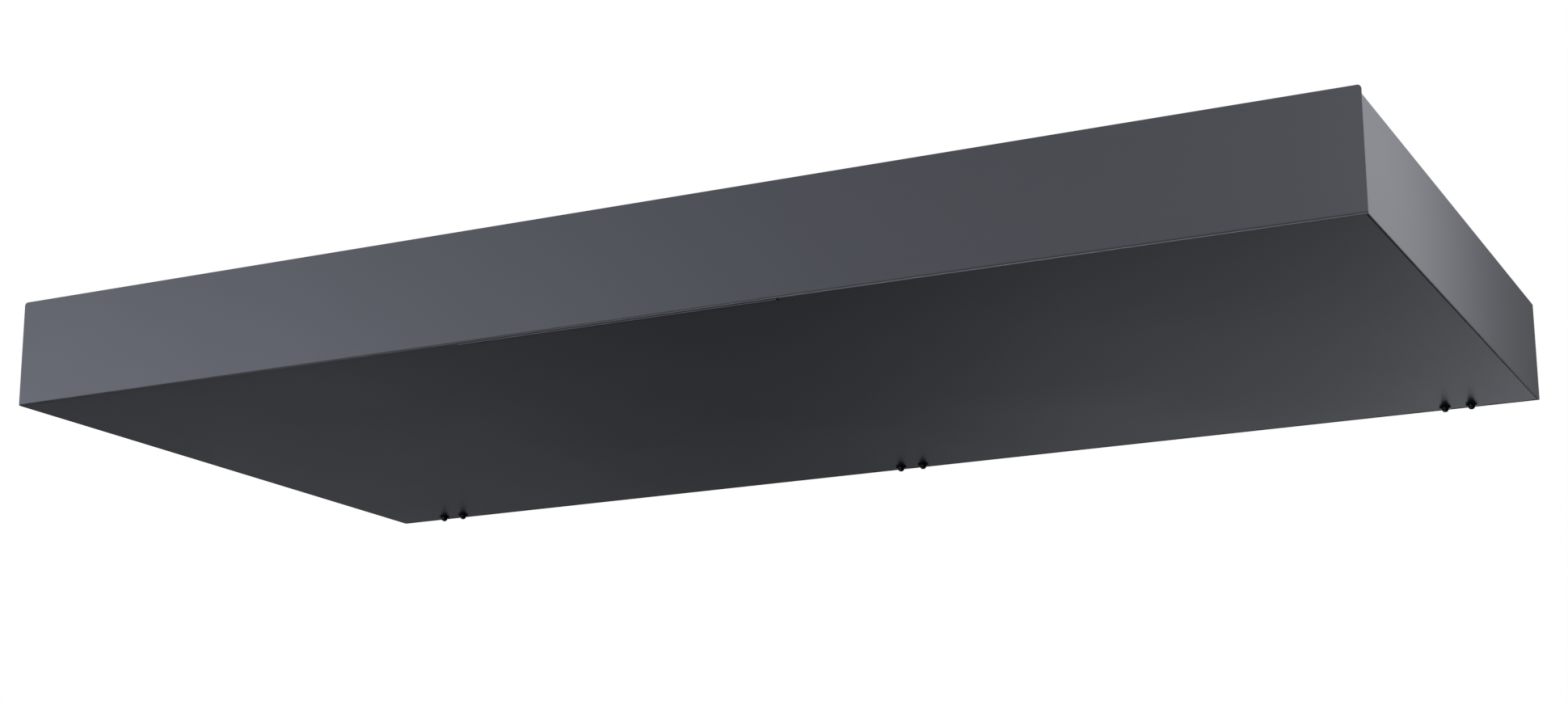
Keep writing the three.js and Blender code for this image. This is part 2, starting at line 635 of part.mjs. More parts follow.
const WHEEL_BOTTOM = BLOWER_BOTTOM + SHEET + WHEEL_GAP[0];
const WHEEL_TOP = HUNG_TOP - SHEET - WHEEL_GAP[1];
const DISH_RADIUS = MOTOR_RADIUS + MOTOR_GAP;
const DISH_LEVEL = WHEEL_BOTTOM + 4;
const HUB_TOP = DISH_LEVEL + 5;

function blowerHousing() {
  return cut(
    alongZ(scrollPlan(0, OUTLET_REACH), [BLOWER_BOTTOM, HUNG_TOP]),
    alongZ(scrollPlan(SHEET, OUTLET_REACH + 1), [BLOWER_BOTTOM + SHEET, HUNG_TOP - SHEET]),
    barZ(INLET_RADIUS + SHEET + FIT, [BLOWER_BOTTOM - 1, BLOWER_BOTTOM + SHEET + 1], [0, 0], 36),
    barZ(LEAD_HOLE / 2, [HUNG_TOP - SHEET - 1, HUNG_TOP + 1], [0, 0], 16),
  );
}

// A bell mouth whose flange lies under the housing and whose throat enters the impeller.
function inletRing() {
  const flangeTop = BLOWER_BOTTOM - FIT;
  const throatTop = WHEEL_BOTTOM - 1;
  return turned([
    [INLET_RADIUS, throatTop], [INLET_RADIUS, flangeTop - SHEET - 1],
    [INLET_RADIUS + 3, flangeTop - SHEET - 4], [INLET_RADIUS + 9, flangeTop - SHEET - 5.2],
    [INLET_RADIUS + 9, flangeTop - SHEET - 4], [INLET_RADIUS + 4, flangeTop - SHEET - 3],
    [INLET_RADIUS + 2, flangeTop - SHEET], [INLET_RADIUS + 20, flangeTop - SHEET],
    [INLET_RADIUS + 20, flangeTop], [INLET_RADIUS + SHEET, flangeTop], [INLET_RADIUS + SHEET, throatTop],
  ]);
}

// A dished back plate, a bottom ring and forward-curved blades between them.
function impeller() {
  const boreRadius = SHAFT_RADIUS + FIT;
  const hubRadius = SHAFT_RADIUS + 5;
  const backPlate = turned([
    [boreRadius, DISH_LEVEL], [DISH_RADIUS + SHEET, DISH_LEVEL], [DISH_RADIUS + SHEET, WHEEL_TOP - SHEET],
    [WHEEL_RADIUS, WHEEL_TOP - SHEET], [WHEEL_RADIUS, WHEEL_TOP], [DISH_RADIUS, WHEEL_TOP],
    [DISH_RADIUS, DISH_LEVEL + SHEET], [hubRadius, DISH_LEVEL + SHEET], [hubRadius, HUB_TOP],
    [boreRadius, HUB_TOP],
  ]);
  const ringRadius = WHEEL_RADIUS - 5;
  const ring = turned([
    [ringRadius, WHEEL_BOTTOM], [WHEEL_RADIUS + SHEET, WHEEL_BOTTOM],
    [WHEEL_RADIUS + SHEET, WHEEL_BOTTOM + 2], [ringRadius, WHEEL_BOTTOM + 2],
  ]);
  const root = WHEEL_RADIUS - BLADE_DEPTH;
  const blades = [];
  for (let i = 0; i < BLADE_COUNT; i++) {
    const outline = [[root, 0], [WHEEL_RADIUS - 8, -3], [WHEEL_RADIUS - 0.5, 2]];
    const behind = [...outline].reverse().map(([x, y]) => [x, y + BLADE_SHEET]);
    const blade = extruded([...outline, ...behind], WHEEL_TOP - SHEET / 2 - WHEEL_BOTTOM - 1);
    blade.translate(0, 0, WHEEL_BOTTOM + 1).rotateZ((2 * Math.PI * i) / BLADE_COUNT);
    blades.push(solid(blade));
  }
  return joined(backPlate, ring, ...blades);
}

function blowerMotor() {
  const top = HUNG_TOP - SHEET - FIT;
  const bottom = HUB_TOP + 2;
  return turned([
    [0, top], [MOTOR_RADIUS + 3, top], [MOTOR_RADIUS + 3, top - SHEET], [MOTOR_RADIUS, top - SHEET],
    [MOTOR_RADIUS, bottom + 2], [MOTOR_RADIUS - 2, bottom], [SHAFT_RADIUS, bottom],
    [SHAFT_RADIUS, DISH_LEVEL - 1], [0, DISH_LEVEL - 1],
  ], 24);
}

const blower = group(BLOWER_X, BLOWER_Y);
piece("blower_housing", blowerHousing(), GALVANISED, blower);
piece("inlet_ring", inletRing(), BLACK_PLASTIC, blower);
piece("impeller", impeller(), ALUMINIUM, blower);
piece("blower_motor", blowerMotor(), ZINC_STEEL, blower);

// ---- Outlet, drawn about the collar's axis ---------------------------------------------------

// An open-topped box under the collar with a window where the blower's outlet meets it.
function outletBox() {
  const half = DUCT_RADIUS + BOX_MARGIN;
  const outletHalf = (SCROLL_END - TONGUE_Y) / 2 - SHEET;
  return cut(
    block([-BOX_LEFT, half], both(half), [BLOWER_BOTTOM, HUNG_TOP]),
    block([SHEET - BOX_LEFT, half - SHEET], both(half - SHEET), [BLOWER_BOTTOM + SHEET, HUNG_TOP + 1]),
    block([-BOX_LEFT - 1, 0], both(outletHalf), [BLOWER_BOTTOM + SHEET, HUNG_TOP - SHEET]),
  );
}

// The collar stands on the top plate. A ledge inside it stops the flaps.
function ductCollar() {
  const outer = DUCT_RADIUS + SHEET;
  const ledgeTop = FLAP_LEVEL - FIT;
  const tube = turned([
    [DUCT_RADIUS, 0], [outer + COLLAR_FLANGE, 0], [outer + COLLAR_FLANGE, SHEET], [outer, SHEET],
    [outer, COLLAR_RISE], [DUCT_RADIUS, COLLAR_RISE], [DUCT_RADIUS, ledgeTop],
    [DUCT_RADIUS - LEDGE_WIDTH, ledgeTop], [DUCT_RADIUS - LEDGE_WIDTH, ledgeTop - SHEET],
    [DUCT_RADIUS, ledgeTop - SHEET],
  ]);
  return cut(tube, barY(PIN_HOLE, both(outer + 1), [0, FLAP_PIN_LEVEL]));
}

// A half-round flap on the side of `sign` X, with its sleeves round the pin at the given Y spans.
function damperFlap(sign, sleeves, otherSleeves) {
  const heights = [FLAP_LEVEL, FLAP_LEVEL + FLAP_SHEET];
  const disc = barZ(DUCT_RADIUS - FLAP_CLEARANCE, heights, [0, 0], 36);
  const far = DUCT_RADIUS + 1;
  const across = (near, end) => (sign > 0 ? [near, end] : [-end, -near]);
  const half = block(across(SLEEVE_RADIUS + FIT, far), both(far), heights);
  const tongues = sleeves.map((span) => block(across(0, 2 * SLEEVE_RADIUS), span, heights));
  const tubes = sleeves.map((span) => barY(SLEEVE_RADIUS, span, [0, FLAP_PIN_LEVEL]));
  const whole = joined(disc.intersect(half), ...tongues, ...tubes);
  return cut(whole, barY(PIN_HOLE, both(far), [0, FLAP_PIN_LEVEL]), ...otherSleeves.map(sleeveRoom));
}

// Room round a sleeve of the other flap.
function sleeveRoom([y0, y1]) {
  return barY(SLEEVE_RADIUS + FIT, [y0 - FIT, y1 + FIT], [0, FLAP_PIN_LEVEL]);
}

const MIDDLE_SLEEVE = [both(14)];
const OUTER_SLEEVES = [[-40, -16], [16, 40]];

piece("outlet_box", outletBox(), GALVANISED);
const outlet = group(0, 0, CASING_TOP + FIT);
piece("duct_collar", ductCollar(), GALVANISED, outlet);
piece("damper_pin", barY(PIN_RADIUS, both(DUCT_RADIUS + SHEET + 1), [0, FLAP_PIN_LEVEL]), ZINC_STEEL, outlet);
piece("damper_flap_left", damperFlap(-1, OUTER_SLEEVES, MIDDLE_SLEEVE), GREY_PLASTIC, outlet);
piece("damper_flap_right", damperFlap(1, MIDDLE_SLEEVE, OUTER_SLEEVES), GREY_PLASTIC, outlet);

// ---- Light -----------------------------------------------------------------------------------

const LIGHT_INSIDE = { x: LIGHT.length / 2 - SHEET, y: LIGHT.width / 2 - SHEET, top: UNDER_FRAME - SHEET };

function lightHousing() {
  return cut(
    block(both(LIGHT.length / 2), both(LIGHT.width / 2), [LIGHT.level, UNDER_FRAME]),
    block(both(LIGHT_INSIDE.x), both(LIGHT_INSIDE.y), [LIGHT.level - 1, LIGHT_INSIDE.top]),
  );
}

function lightFilling([z0, z1]) {
  return block(both(LIGHT_INSIDE.x - FIT), both(LIGHT_INSIDE.y - FIT), [z0, z1]);
}

const boardTop = LIGHT_INSIDE.top - FIT;
const light = group(0, FRONT_FITTINGS_Y);
piece("light_housing", lightHousing(), ALUMINIUM, light);
piece("led_board", lightFilling([boardTop - LIGHT.board, boardTop]), BOARD, light);
piece("light_lens", lightFilling([LIGHT.level + FIT, LIGHT.level + FIT + LIGHT.lens]), OPAL, light);

// ---- Switches and control box ----------------------------------------------------------------

function buttonPlaces() {
  return Array.from({ length: BUTTON.count }, (_, i) => (i - (BUTTON.count - 1) / 2) * BUTTON.pitch);
}

function buttonFascia() {
  const x = FASCIA.length / 2;
  const y = FASCIA.width / 2;
  const floor = FASCIA.level + FASCIA.wall;
  const holes = buttonPlaces().map((at) => barZ(BUTTON.radius + FIT, [FASCIA.level - 1, floor + 1], [at, 0]));
  return cut(
    block(both(x), both(y), [FASCIA.level, UNDER_FRAME]),
    block(both(x - FASCIA.wall), both(y - FASCIA.wall), [floor, UNDER_FRAME + 1]),
    ...holes,
  );
}

// A round push button that stands proud of the fascia, with its stop flange inside.
function pushButton() {
  const face = FASCIA.level - BUTTON.proud;
  const flange = FASCIA.level + FASCIA.wall + FIT;
  return turned([
    [0, face], [BUTTON.radius - 1, face], [BUTTON.radius, face + 1], [BUTTON.radius, flange],
    [BUTTON.flange, flange], [BUTTON.flange, flange + SHEET], [0, flange + SHEET],
  ], 20);
}

const fascia = group(FASCIA_X, FRONT_FITTINGS_Y);
piece("button_fascia", buttonFascia(), BLACK_PLASTIC, fascia);
buttonPlaces().forEach((x, i) => {
  piece(`push_button_${i + 1}`, pushButton(), GREY_PLASTIC, group(x, 0, 0, fascia));
});

// The box hangs under the top plate and is open below. The gland passes through both.
function controlBox() {
  const x = CONTROL.length / 2;
  const y = CONTROL.width / 2;
  return cut(
    block(both(x), both(y), [BLOWER_BOTTOM, HUNG_TOP]),
    block(both(x - SHEET), both(y - SHEET), [BLOWER_BOTTOM - 1, HUNG_TOP - SHEET]),
    barZ(GLAND.sleeve + FIT, [HUNG_TOP - SHEET - 1, HUNG_TOP + 1], [0, GLAND.y]),
  );
}

function controlBoxCover() {
  const top = BLOWER_BOTTOM - FIT;
  return block(both(CONTROL.length / 2), both(CONTROL.width / 2), [top - SHEET, top]);
}

// A circuit board that hangs from the box's roof, with its relays and transformer below it.
function controlBoard() {
  const top = HUNG_TOP - SHEET - CIRCUIT.standoff;
  const bottom = top - CIRCUIT.board;
  const partFace = BLOWER_BOTTOM + CIRCUIT.partGap;
  const x = CONTROL.length / 2 - CIRCUIT.inset;
  const y = CONTROL.width / 2 - CIRCUIT.inset;
  const heights = [partFace, bottom + FIT];
  const part = (x0, y0, length, width) => block([x0, x0 + length], [y0, y0 + width], heights);
  const relays = [0, 1, 2].map((i) => part(x - 25, 22 * i + 8 - y, 18, 16));
  return joined(block(both(x), both(y), [bottom, top]), part(8 - x, 8 - y, 40, 36), ...relays);
}

function cableGland() {
  const { sleeve, bore, flange, rise, nut } = GLAND;
  const nutTop = HUNG_TOP - SHEET - FIT;
  const seat = CASING_TOP + FIT;
  return turned([
    [bore, nutTop - nut], [flange, nutTop - nut], [flange, nutTop], [sleeve, nutTop], [sleeve, seat],
    [flange, seat], [flange, seat + 4], [sleeve, seat + 5], [sleeve, seat + rise - 1], [sleeve - 1, seat + rise],
    [bore, seat + rise],
  ], 16);
}

const control = group(CONTROL_X);
piece("control_box", controlBox(), GALVANISED, control);
piece("control_box_cover", controlBoxCover(), GALVANISED, control);
piece("control_board", controlBoard(), BOARD, control);
piece("cable_gland", cableGland(), BLACK_PLASTIC, group(0, GLAND.y, 0, control));

export default hood;
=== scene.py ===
"""Looks of a flat island extractor hood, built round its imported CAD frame. Run as a script in Blender 4.5."""
import json
import math

import bmesh
import bpy
from bpy.props import FloatProperty, FloatVectorProperty, PointerProperty
from mathutils import Matrix, Vector


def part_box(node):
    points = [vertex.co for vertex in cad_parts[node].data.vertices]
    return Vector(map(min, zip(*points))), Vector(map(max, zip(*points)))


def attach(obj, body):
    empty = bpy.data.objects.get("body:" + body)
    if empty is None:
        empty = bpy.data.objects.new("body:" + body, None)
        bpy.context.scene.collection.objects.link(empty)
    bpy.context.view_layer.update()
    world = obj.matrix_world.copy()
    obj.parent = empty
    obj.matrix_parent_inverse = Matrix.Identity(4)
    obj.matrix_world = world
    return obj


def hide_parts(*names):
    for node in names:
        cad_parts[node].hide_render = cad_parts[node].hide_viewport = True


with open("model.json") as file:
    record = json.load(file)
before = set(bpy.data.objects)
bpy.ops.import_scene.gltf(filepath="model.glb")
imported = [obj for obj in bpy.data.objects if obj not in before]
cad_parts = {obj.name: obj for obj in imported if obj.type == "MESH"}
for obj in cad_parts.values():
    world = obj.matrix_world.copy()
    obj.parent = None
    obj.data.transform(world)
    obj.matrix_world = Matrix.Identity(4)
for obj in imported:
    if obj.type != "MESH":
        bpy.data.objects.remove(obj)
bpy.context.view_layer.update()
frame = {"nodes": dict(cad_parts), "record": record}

bl_info = {
    "name": "Island extractor hood",
    "version": (1, 0, 0),
    "blender": (4, 5, 0),
    "location": "3D View > Sidebar > Hood",
    "description": "Builds the visible pieces of a ceiling-mounted island hood round its CAD frame",
    "category": "Add Mesh",
}

MM = 0.001
SIDES = ("left", "right")
PLACES = ("left", "middle", "right")
WELD = 0.002 * MM  # corners of the CAD meshes closer than this are one
FLAT = math.radians(0.5)  # CAD faces that meet flatter than this are one face
SHARP = math.radians(35)  # edges that turn more than this stay crisp
TURNED_STEPS = 36

BODY = {node: body for body, nodes in frame["record"]["behaviour"]["bodies"].items() for node in nodes}
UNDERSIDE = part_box("front_panel")[0].z  # height of the hood's underside


# ---- Sizes and colours a user would change --------------------------------------------------------

def linear(code):
    """An sRGB hex colour such as "5C5E64" as linear red, green and blue."""
    channels = [int(code[i:i + 2], 16) / 255 for i in (0, 2, 4)]
    return tuple(c / 12.92 if c <= 0.04045 else ((c + 0.055) / 1.055) ** 2.4 for c in channels)


def length(name, description, millimetres):
    return FloatProperty(name=name, description=description, default=millimetres * MM, unit="LENGTH", min=0)


def colour(name, description, code):
    return FloatVectorProperty(
        name=name, description=description, default=linear(code), subtype="COLOR", min=0, max=1)


class HoodSizes(bpy.types.PropertyGroup):
    """Sizes of the details that the CAD frame leaves to the visible pieces."""
    front_round: length("Front edge round", "Radius of the front panel's lower outer edge", 1.7)
    fold_round: length("Fold round", "Outer radius of the closing panel's folded edges", 0.5)
    seam_fill: length("Seam fill", "How far the closing panel's finished edges reach into its seam", 0.7)
    sheet_round: length("Sheet edge round", "Radius of the other cut sheet edges", 0.3)
    coat_ripple: length("Coat ripple", "Width of one ripple in the powder coat", 1.6)
    spangle: length("Zinc spangle", "Width of one zinc crystal on galvanised sheet", 9.0)
    mesh_cell: length("Filter mesh cell", "Length of one diamond in the expanded mesh", 14.0)
    mesh_strand: length("Filter mesh strand", "Width of one strand of the expanded mesh", 1.1)
    led_pitch: length("LED pitch", "Distance between two light-emitting diodes", 12.0)
    floor_drop: length("Floor depth", "Ceiling to floor", 2400.0)


class HoodColours(bpy.types.PropertyGroup):
    """Colours of the finishes."""
    coat: colour("Powder coat", "Satin graphite-grey powder coat", "5E5F63")
    zinc: colour("Galvanised sheet", "Hot-dip galvanised sheet steel", "A6ABAF")
    plating: colour("Zinc plating", "Bright zinc-plated steel", "A9A9A4")
    aluminium: colour("Aluminium", "Satin aluminium", "C4C7CA")
    oxide: colour("Black oxide", "Black-oxide steel", "24262B")
    black_plastic: colour("Black plastic", "Black moulded plastic", "1B1C1F")
    grey_plastic: colour("Grey plastic", "Grey moulded plastic", "6B6F75")
    ferrite: colour("Ferrite", "Sintered ferrite magnet", "2C2B2B")
    opal: colour("Opal acrylic", "Diffusing acrylic of the light's lens", "F1F0EA")
    board: colour("Solder mask", "Green solder mask of the circuit boards", "1D5A3A")
    floor: colour("Floor", "Pale studio floor", "E9E9E7")


class HoodStudio(bpy.types.PropertyGroup):
    """Camera and lights."""
    lens: FloatProperty(name="Focal length", description="Camera focal length", default=61.3, unit="CAMERA")
    camera_yaw: FloatProperty(
        name="Camera turn", description="Camera turned left from straight on",
        default=math.radians(26.2077), subtype="ANGLE")
    camera_pitch: FloatProperty(
        name="Camera tilt", description="Camera tilted up", default=math.radians(13.2694), subtype="ANGLE")
    camera_roll: FloatProperty(
        name="Camera roll", description="Camera rolled to the right",
        default=math.radians(0.3232), subtype="ANGLE")
    camera_shift: FloatProperty(name="Camera shift", description="Vertical lens shift", default=0.05)
    sun_strength: FloatProperty(
        name="Soft sun", description="Strength of the light from above", default=2.2, min=0)
    sun_spread: FloatProperty(
        name="Sun spread", description="How wide the light from above is", default=math.radians(50),
        subtype="ANGLE")
    side_lamp: FloatProperty(
        name="Side lamp", description="Power of the lamp at the right side panel", default=7.4,
        unit="POWER", min=0)
    camera_place: FloatVectorProperty(
        name="Camera place", description="Where the camera stands", default=(1.01296, -2.05197, -0.6589),
        subtype="TRANSLATION", unit="LENGTH")


# ---- Nodes, shapes and pieces ---------------------------------------------------------------------

MIX_A, MIX_B, MIX_OUT = 6, 7, 2  # the colour sockets of a Mix node


def add(tree, kind, inputs=None, **settings):
    """Adds a node with its settings. An input is a value, or the output socket it is linked from."""
    made = tree.nodes.new(kind)
    for name, value in settings.items():
        setattr(made, name, value)
    for name, value in (inputs or {}).items():
        if isinstance(value, bpy.types.NodeSocket):
            tree.links.new(value, made.inputs[name])
        else:
            made.inputs[name].default_value = value
    return made


def welded(node):
    """A CAD node's shape with its corners merged and its flat faces whole."""
    shape = bmesh.new()
    shape.from_mesh(frame["nodes"][node].data)
    bmesh.ops.remove_doubles(shape, verts=shape.verts, dist=WELD)
    bmesh.ops.dissolve_limit(shape, angle_limit=FLAT, verts=shape.verts, edges=shape.edges)
    return shape


def rounded(shape, radius, wanted=None, segments=2):
    """Rounds the crisp edges of a shape, or those of them that are wanted."""
    edges = [edge for edge in shape.edges if len(edge.link_faces) == 2 and edge.calc_face_angle() > SHARP]
    if wanted:
        edges = [edge for edge in edges if wanted(edge)]
    bmesh.ops.bevel(
        shape, geom=edges, offset=radius, offset_type="OFFSET", segments=segments, profile=0.5,
        affect="EDGES", clamp_overlap=False)
    return shape


def slab(shape, low, high, radius=0.0):
    """Adds a block between two corners to a shape, with rounded edges if it has a radius."""
    made = bmesh.ops.create_cube(shape, size=1)["verts"]
    size, middle = Vector(high) - Vector(low), (Vector(high) + Vector(low)) / 2
    for vert in made:
        vert.co = Vector(a * b for a, b in zip(vert.co, size)) + middle
    if radius:
        edges = list({edge for vert in made for edge in vert.link_edges})
        bmesh.ops.bevel(shape, geom=edges, offset=radius, segments=2, profile=0.5, affect="EDGES")
    return shape


def arc(centre, radius, start, end, steps=6):
    """Points of an arc in a turned profile, between two angles in degrees."""
    turns = [math.radians(start + (end - start) * i / steps) for i in range(steps + 1)]
    return [(centre[0] + radius * math.cos(t), centre[1] + radius * math.sin(t)) for t in turns]


def turned(profile, centre=(0, 0, 0), closed=False, steps=TURNED_STEPS):
    """A solid turned about Z from (radius, height) points in millimetres, or (half width, height, flats)
    where a ring has flats. An open profile starts and ends on the axis, a closed one is a loop."""
    shape, rings = bmesh.new(), []
    for radius, height, *flats in profile:
        if radius == 0:
            rings.append([shape.verts.new((0, 0, height * MM))])
            continue
        ring = []
        for step in range(steps):
            turn, reach = 2 * math.pi * step / steps, radius
            if flats:
                side = 2 * math.pi / flats[0]
                reach = radius / math.cos((turn + side / 2) % side - side / 2)
            x, y = reach * math.cos(turn), reach * math.sin(turn)
            ring.append(shape.verts.new((x * MM, y * MM, height * MM)))
        rings.append(ring)
    pairs = list(zip(rings, rings[1:] + rings[:1])) if closed else list(zip(rings, rings[1:]))
    for one, two in pairs:
        for i in range(steps):
            j = (i + 1) % steps
            corners = [one[i % len(one)], one[j % len(one)], two[j % len(two)], two[i % len(two)]]
            shape.faces.new(list(dict.fromkeys(corners)))
    bmesh.ops.recalc_face_normals(shape, faces=shape.faces)
    bmesh.ops.translate(shape, verts=shape.verts, vec=centre)
    return shape


def mesh_of(shape, name):
    """A shape as a smooth mesh with crisp sharp edges. The shape is used up."""
    data = bpy.data.meshes.new(name)
    shape.to_mesh(data)
    shape.free()
    data.shade_smooth()
    data.set_sharp_from_angle(angle=SHARP)
    return data


def show(data, name, like, *materials, stands_for=None):
    """Makes a mesh a finished piece on the body of a CAD node, which it stands for unless it is told
    otherwise. Its first material says which slot of the record it belongs to."""
    for material in materials:
        data.materials.append(material)
    piece = bpy.data.objects.new(name, data)
    bpy.context.scene.collection.objects.link(piece)
    even = piece.modifiers.new("Even shading", "WEIGHTED_NORMAL")
    even.keep_sharp = True
    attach(piece, BODY[like])
    nodes = [like] if stands_for is None else stands_for
    if nodes:
        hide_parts(*nodes)
    return piece


def show_rounded(nodes, radius, material):
    """Finished copies of CAD nodes with their crisp edges rounded."""
    for node in nodes:
        show(mesh_of(rounded(welded(node), radius), node), f"finished_{node}", node, material)


def grown(tree, values, points=()):
    """The plain mesh that a geometry tree makes from some points and the values of its named inputs."""
    seed_mesh = bpy.data.meshes.new("seed")
    seed_mesh.from_pydata([tuple(point) for point in points], [], [])
    seed = bpy.data.objects.new("seed", seed_mesh)
    modifier = seed.modifiers.new("Grow", "NODES")
    modifier.node_group = tree
    for socket in tree.interface.items_tree:
        if socket.item_type == "SOCKET" and socket.in_out == "INPUT" and socket.name in values:
            modifier[socket.identifier] = values[socket.name]
    bpy.context.scene.collection.objects.link(seed)
    evaluated = seed.evaluated_get(bpy.context.evaluated_depsgraph_get())
    data = bpy.data.meshes.new_from_object(evaluated)
    bpy.data.objects.remove(seed)
    data.materials.clear()
    data.materials.append(values["Material"])
    data.polygons.foreach_set("material_index", [0] * len(data.polygons))
    return data


def geometry_tree(name, inputs):
    """Starts a geometry tree with named inputs, and gives it with its input and output nodes."""
    tree = bpy.data.node_groups.new(name, "GeometryNodeTree")
    tree.interface.new_socket("Geometry", in_out="INPUT", socket_type="NodeSocketGeometry")
    for label, kind in inputs.items():
        tree.interface.new_socket(label, in_out="INPUT", socket_type="NodeSocket" + kind)
    tree.interface.new_socket("Geometry", in_out="OUTPUT", socket_type="NodeSocketGeometry")
    return tree, add(tree, "NodeGroupInput").outputs


def end_tree(tree, geometry, material):
    """Ends a geometry tree in plain geometry with its material."""
    plain = add(tree, "GeometryNodeRealizeInstances", {"Geometry": geometry}).outputs["Geometry"]
    painted = add(tree, "GeometryNodeSetMaterial", {"Geometry": plain, "Material": material})
    add(tree, "NodeGroupOutput", {"Geometry": painted.outputs["Geometry"]})
    return tree


def set_out_tree():
    """One small part, repeated at every point: screws, pins, rivets, weld spots and diodes."""
    name = "Parts set out at points"
    if name in bpy.data.node_groups:
        return bpy.data.node_groups[name]
    tree, given = geometry_tree(name, {"Part": "Object", "Material": "Material"})
    part = add(tree, "GeometryNodeObjectInfo", {"Object": given["Part"]}, transform_space="ORIGINAL")
    copies = add(tree, "GeometryNodeInstanceOnPoints", {
        "Points": given["Geometry"], "Instance": part.outputs["Geometry"]})
    return end_tree(tree, copies.outputs["Instances"], given["Material"])


def set_out(shape, points, material):
    """The plain mesh of a small shape repeated at some points."""
    part = bpy.data.objects.new("part", mesh_of(shape, "part"))
    bpy.context.scene.collection.objects.link(part)
    data = grown(set_out_tree(), {"Part": part, "Material": material}, points)
    bpy.data.objects.remove(part)
    return data


# ---- Finishes -------------------------------------------------------------------------------------

def begin(name, slot):
    """Starts a material, and gives it with its node tree and its coordinates on the hood."""
    material = bpy.data.materials.new(name)
    material["slot"] = slot
    material.use_nodes = True
    material.node_tree.nodes.clear()
    place = add(material.node_tree, "ShaderNodeTexCoord").outputs["Object"]
    return material, material.node_tree, place


def end(material, inputs):
    """Ends a material in its shader."""
    tree = material.node_tree
    shader = add(tree, "ShaderNodeBsdfPrincipled", inputs)
    add(tree, "ShaderNodeOutputMaterial", {"Surface": shader.outputs["BSDF"]})
    return material


def shade(colour, factor):
    """A colour made darker or lighter, as a node's value."""
    return (*(min(1.0, channel * factor) for channel in colour), 1.0)


def powder_coat(sizes, colours):
    # Polyester powder baked on sheet steel: an even satin grey with fine metal flake, and a shallow
    # orange-peel ripple that softens every reflection.
    material, tree, place = begin("Graphite powder coat", "graphite_coat")
    ripple = add(tree, "ShaderNodeTexNoise", {"Vector": place, "Scale": 1 / sizes.coat_ripple, "Detail": 1.0})
    flake = add(tree, "ShaderNodeTexNoise", {"Vector": place, "Scale": 1 / (0.7 * MM), "Detail": 0.0})
    drift = add(tree, "ShaderNodeTexNoise", {"Vector": place, "Scale": 1 / (180 * MM), "Detail": 2.0})
    mixed = add(tree, "ShaderNodeMix", {
        "Factor": flake.outputs[0], MIX_A: shade(colours.coat, 0.94), MIX_B: shade(colours.coat, 1.06),
    }, data_type="RGBA")
    rough = add(tree, "ShaderNodeMapRange", {"Value": drift.outputs[0], "To Min": 0.29, "To Max": 0.35})
    bump = add(tree, "ShaderNodeBump", {"Height": ripple.outputs[0], "Strength": 0.3, "Distance": 0.01 * MM})
    return end(material, {
        "Base Color": mixed.outputs[MIX_OUT], "Roughness": rough.outputs[0], "Metallic": 0.5,
        "Normal": bump.outputs[0]})


def galvanised_sheet(sizes, colours):
    # Steel sheet dipped in molten zinc: crystals as wide as a fingernail, each with its own tone and gloss.
    material, tree, place = begin("Galvanised sheet steel", "galvanised_steel")
    crystal = add(tree, "ShaderNodeTexVoronoi", {"Vector": place, "Scale": 1 / sizes.spangle})
    tone = add(tree, "ShaderNodeSeparateColor", {"Color": crystal.outputs["Color"]})
    cloud = add(tree, "ShaderNodeTexNoise", {"Vector": place, "Scale": 1 / (60 * MM), "Detail": 3.0})
    mixed = add(tree, "ShaderNodeMix", {
        "Factor": tone.outputs[0], MIX_A: shade(colours.zinc, 0.86), MIX_B: shade(colours.zinc, 1.08),
    }, data_type="RGBA")
    clouded = add(tree, "ShaderNodeMix", {
        "Factor": cloud.outputs[0], MIX_A: mixed.outputs[MIX_OUT], MIX_B: shade(colours.zinc, 0.92),
    }, data_type="RGBA")
    rough = add(tree, "ShaderNodeMapRange", {"Value": tone.outputs[1], "To Min": 0.36, "To Max": 0.52})
    bump = add(tree, "ShaderNodeBump", {
        "Height": crystal.outputs["Distance"], "Strength": 0.12, "Distance": 0.05 * MM})
    return end(material, {
        "Base Color": clouded.outputs[MIX_OUT], "Roughness": rough.outputs[0], "Metallic": 1.0,
        "Normal": bump.outputs[0]})


def zinc_plating(sizes, colours):
    # Steel electroplated with zinc: bright, with a faint yellow and blue passivation bloom.
    material, tree, place = begin("Zinc-plated steel", "zinc_plated_steel")
    bloom = add(tree, "ShaderNodeTexNoise", {"Vector": place, "Scale": 1 / (14 * MM), "Detail": 2.0})
    mixed = add(tree, "ShaderNodeMix", {
        "Factor": bloom.outputs[0], MIX_A: (*linear("B3AE9C"), 1), MIX_B: (*linear("A2A9B2"), 1),
    }, data_type="RGBA")
    tinted = add(tree, "ShaderNodeMix", {
        "Factor": 0.5, MIX_A: mixed.outputs[MIX_OUT], MIX_B: shade(colours.plating, 1.0)}, data_type="RGBA")
    grain = add(tree, "ShaderNodeTexNoise", {"Vector": place, "Scale": 1 / (1.2 * MM), "Detail": 2.0})
    rough = add(tree, "ShaderNodeMapRange", {"Value": grain.outputs[0], "To Min": 0.26, "To Max": 0.4})
    return end(material, {
        "Base Color": tinted.outputs[MIX_OUT], "Roughness": rough.outputs[0], "Metallic": 1.0})


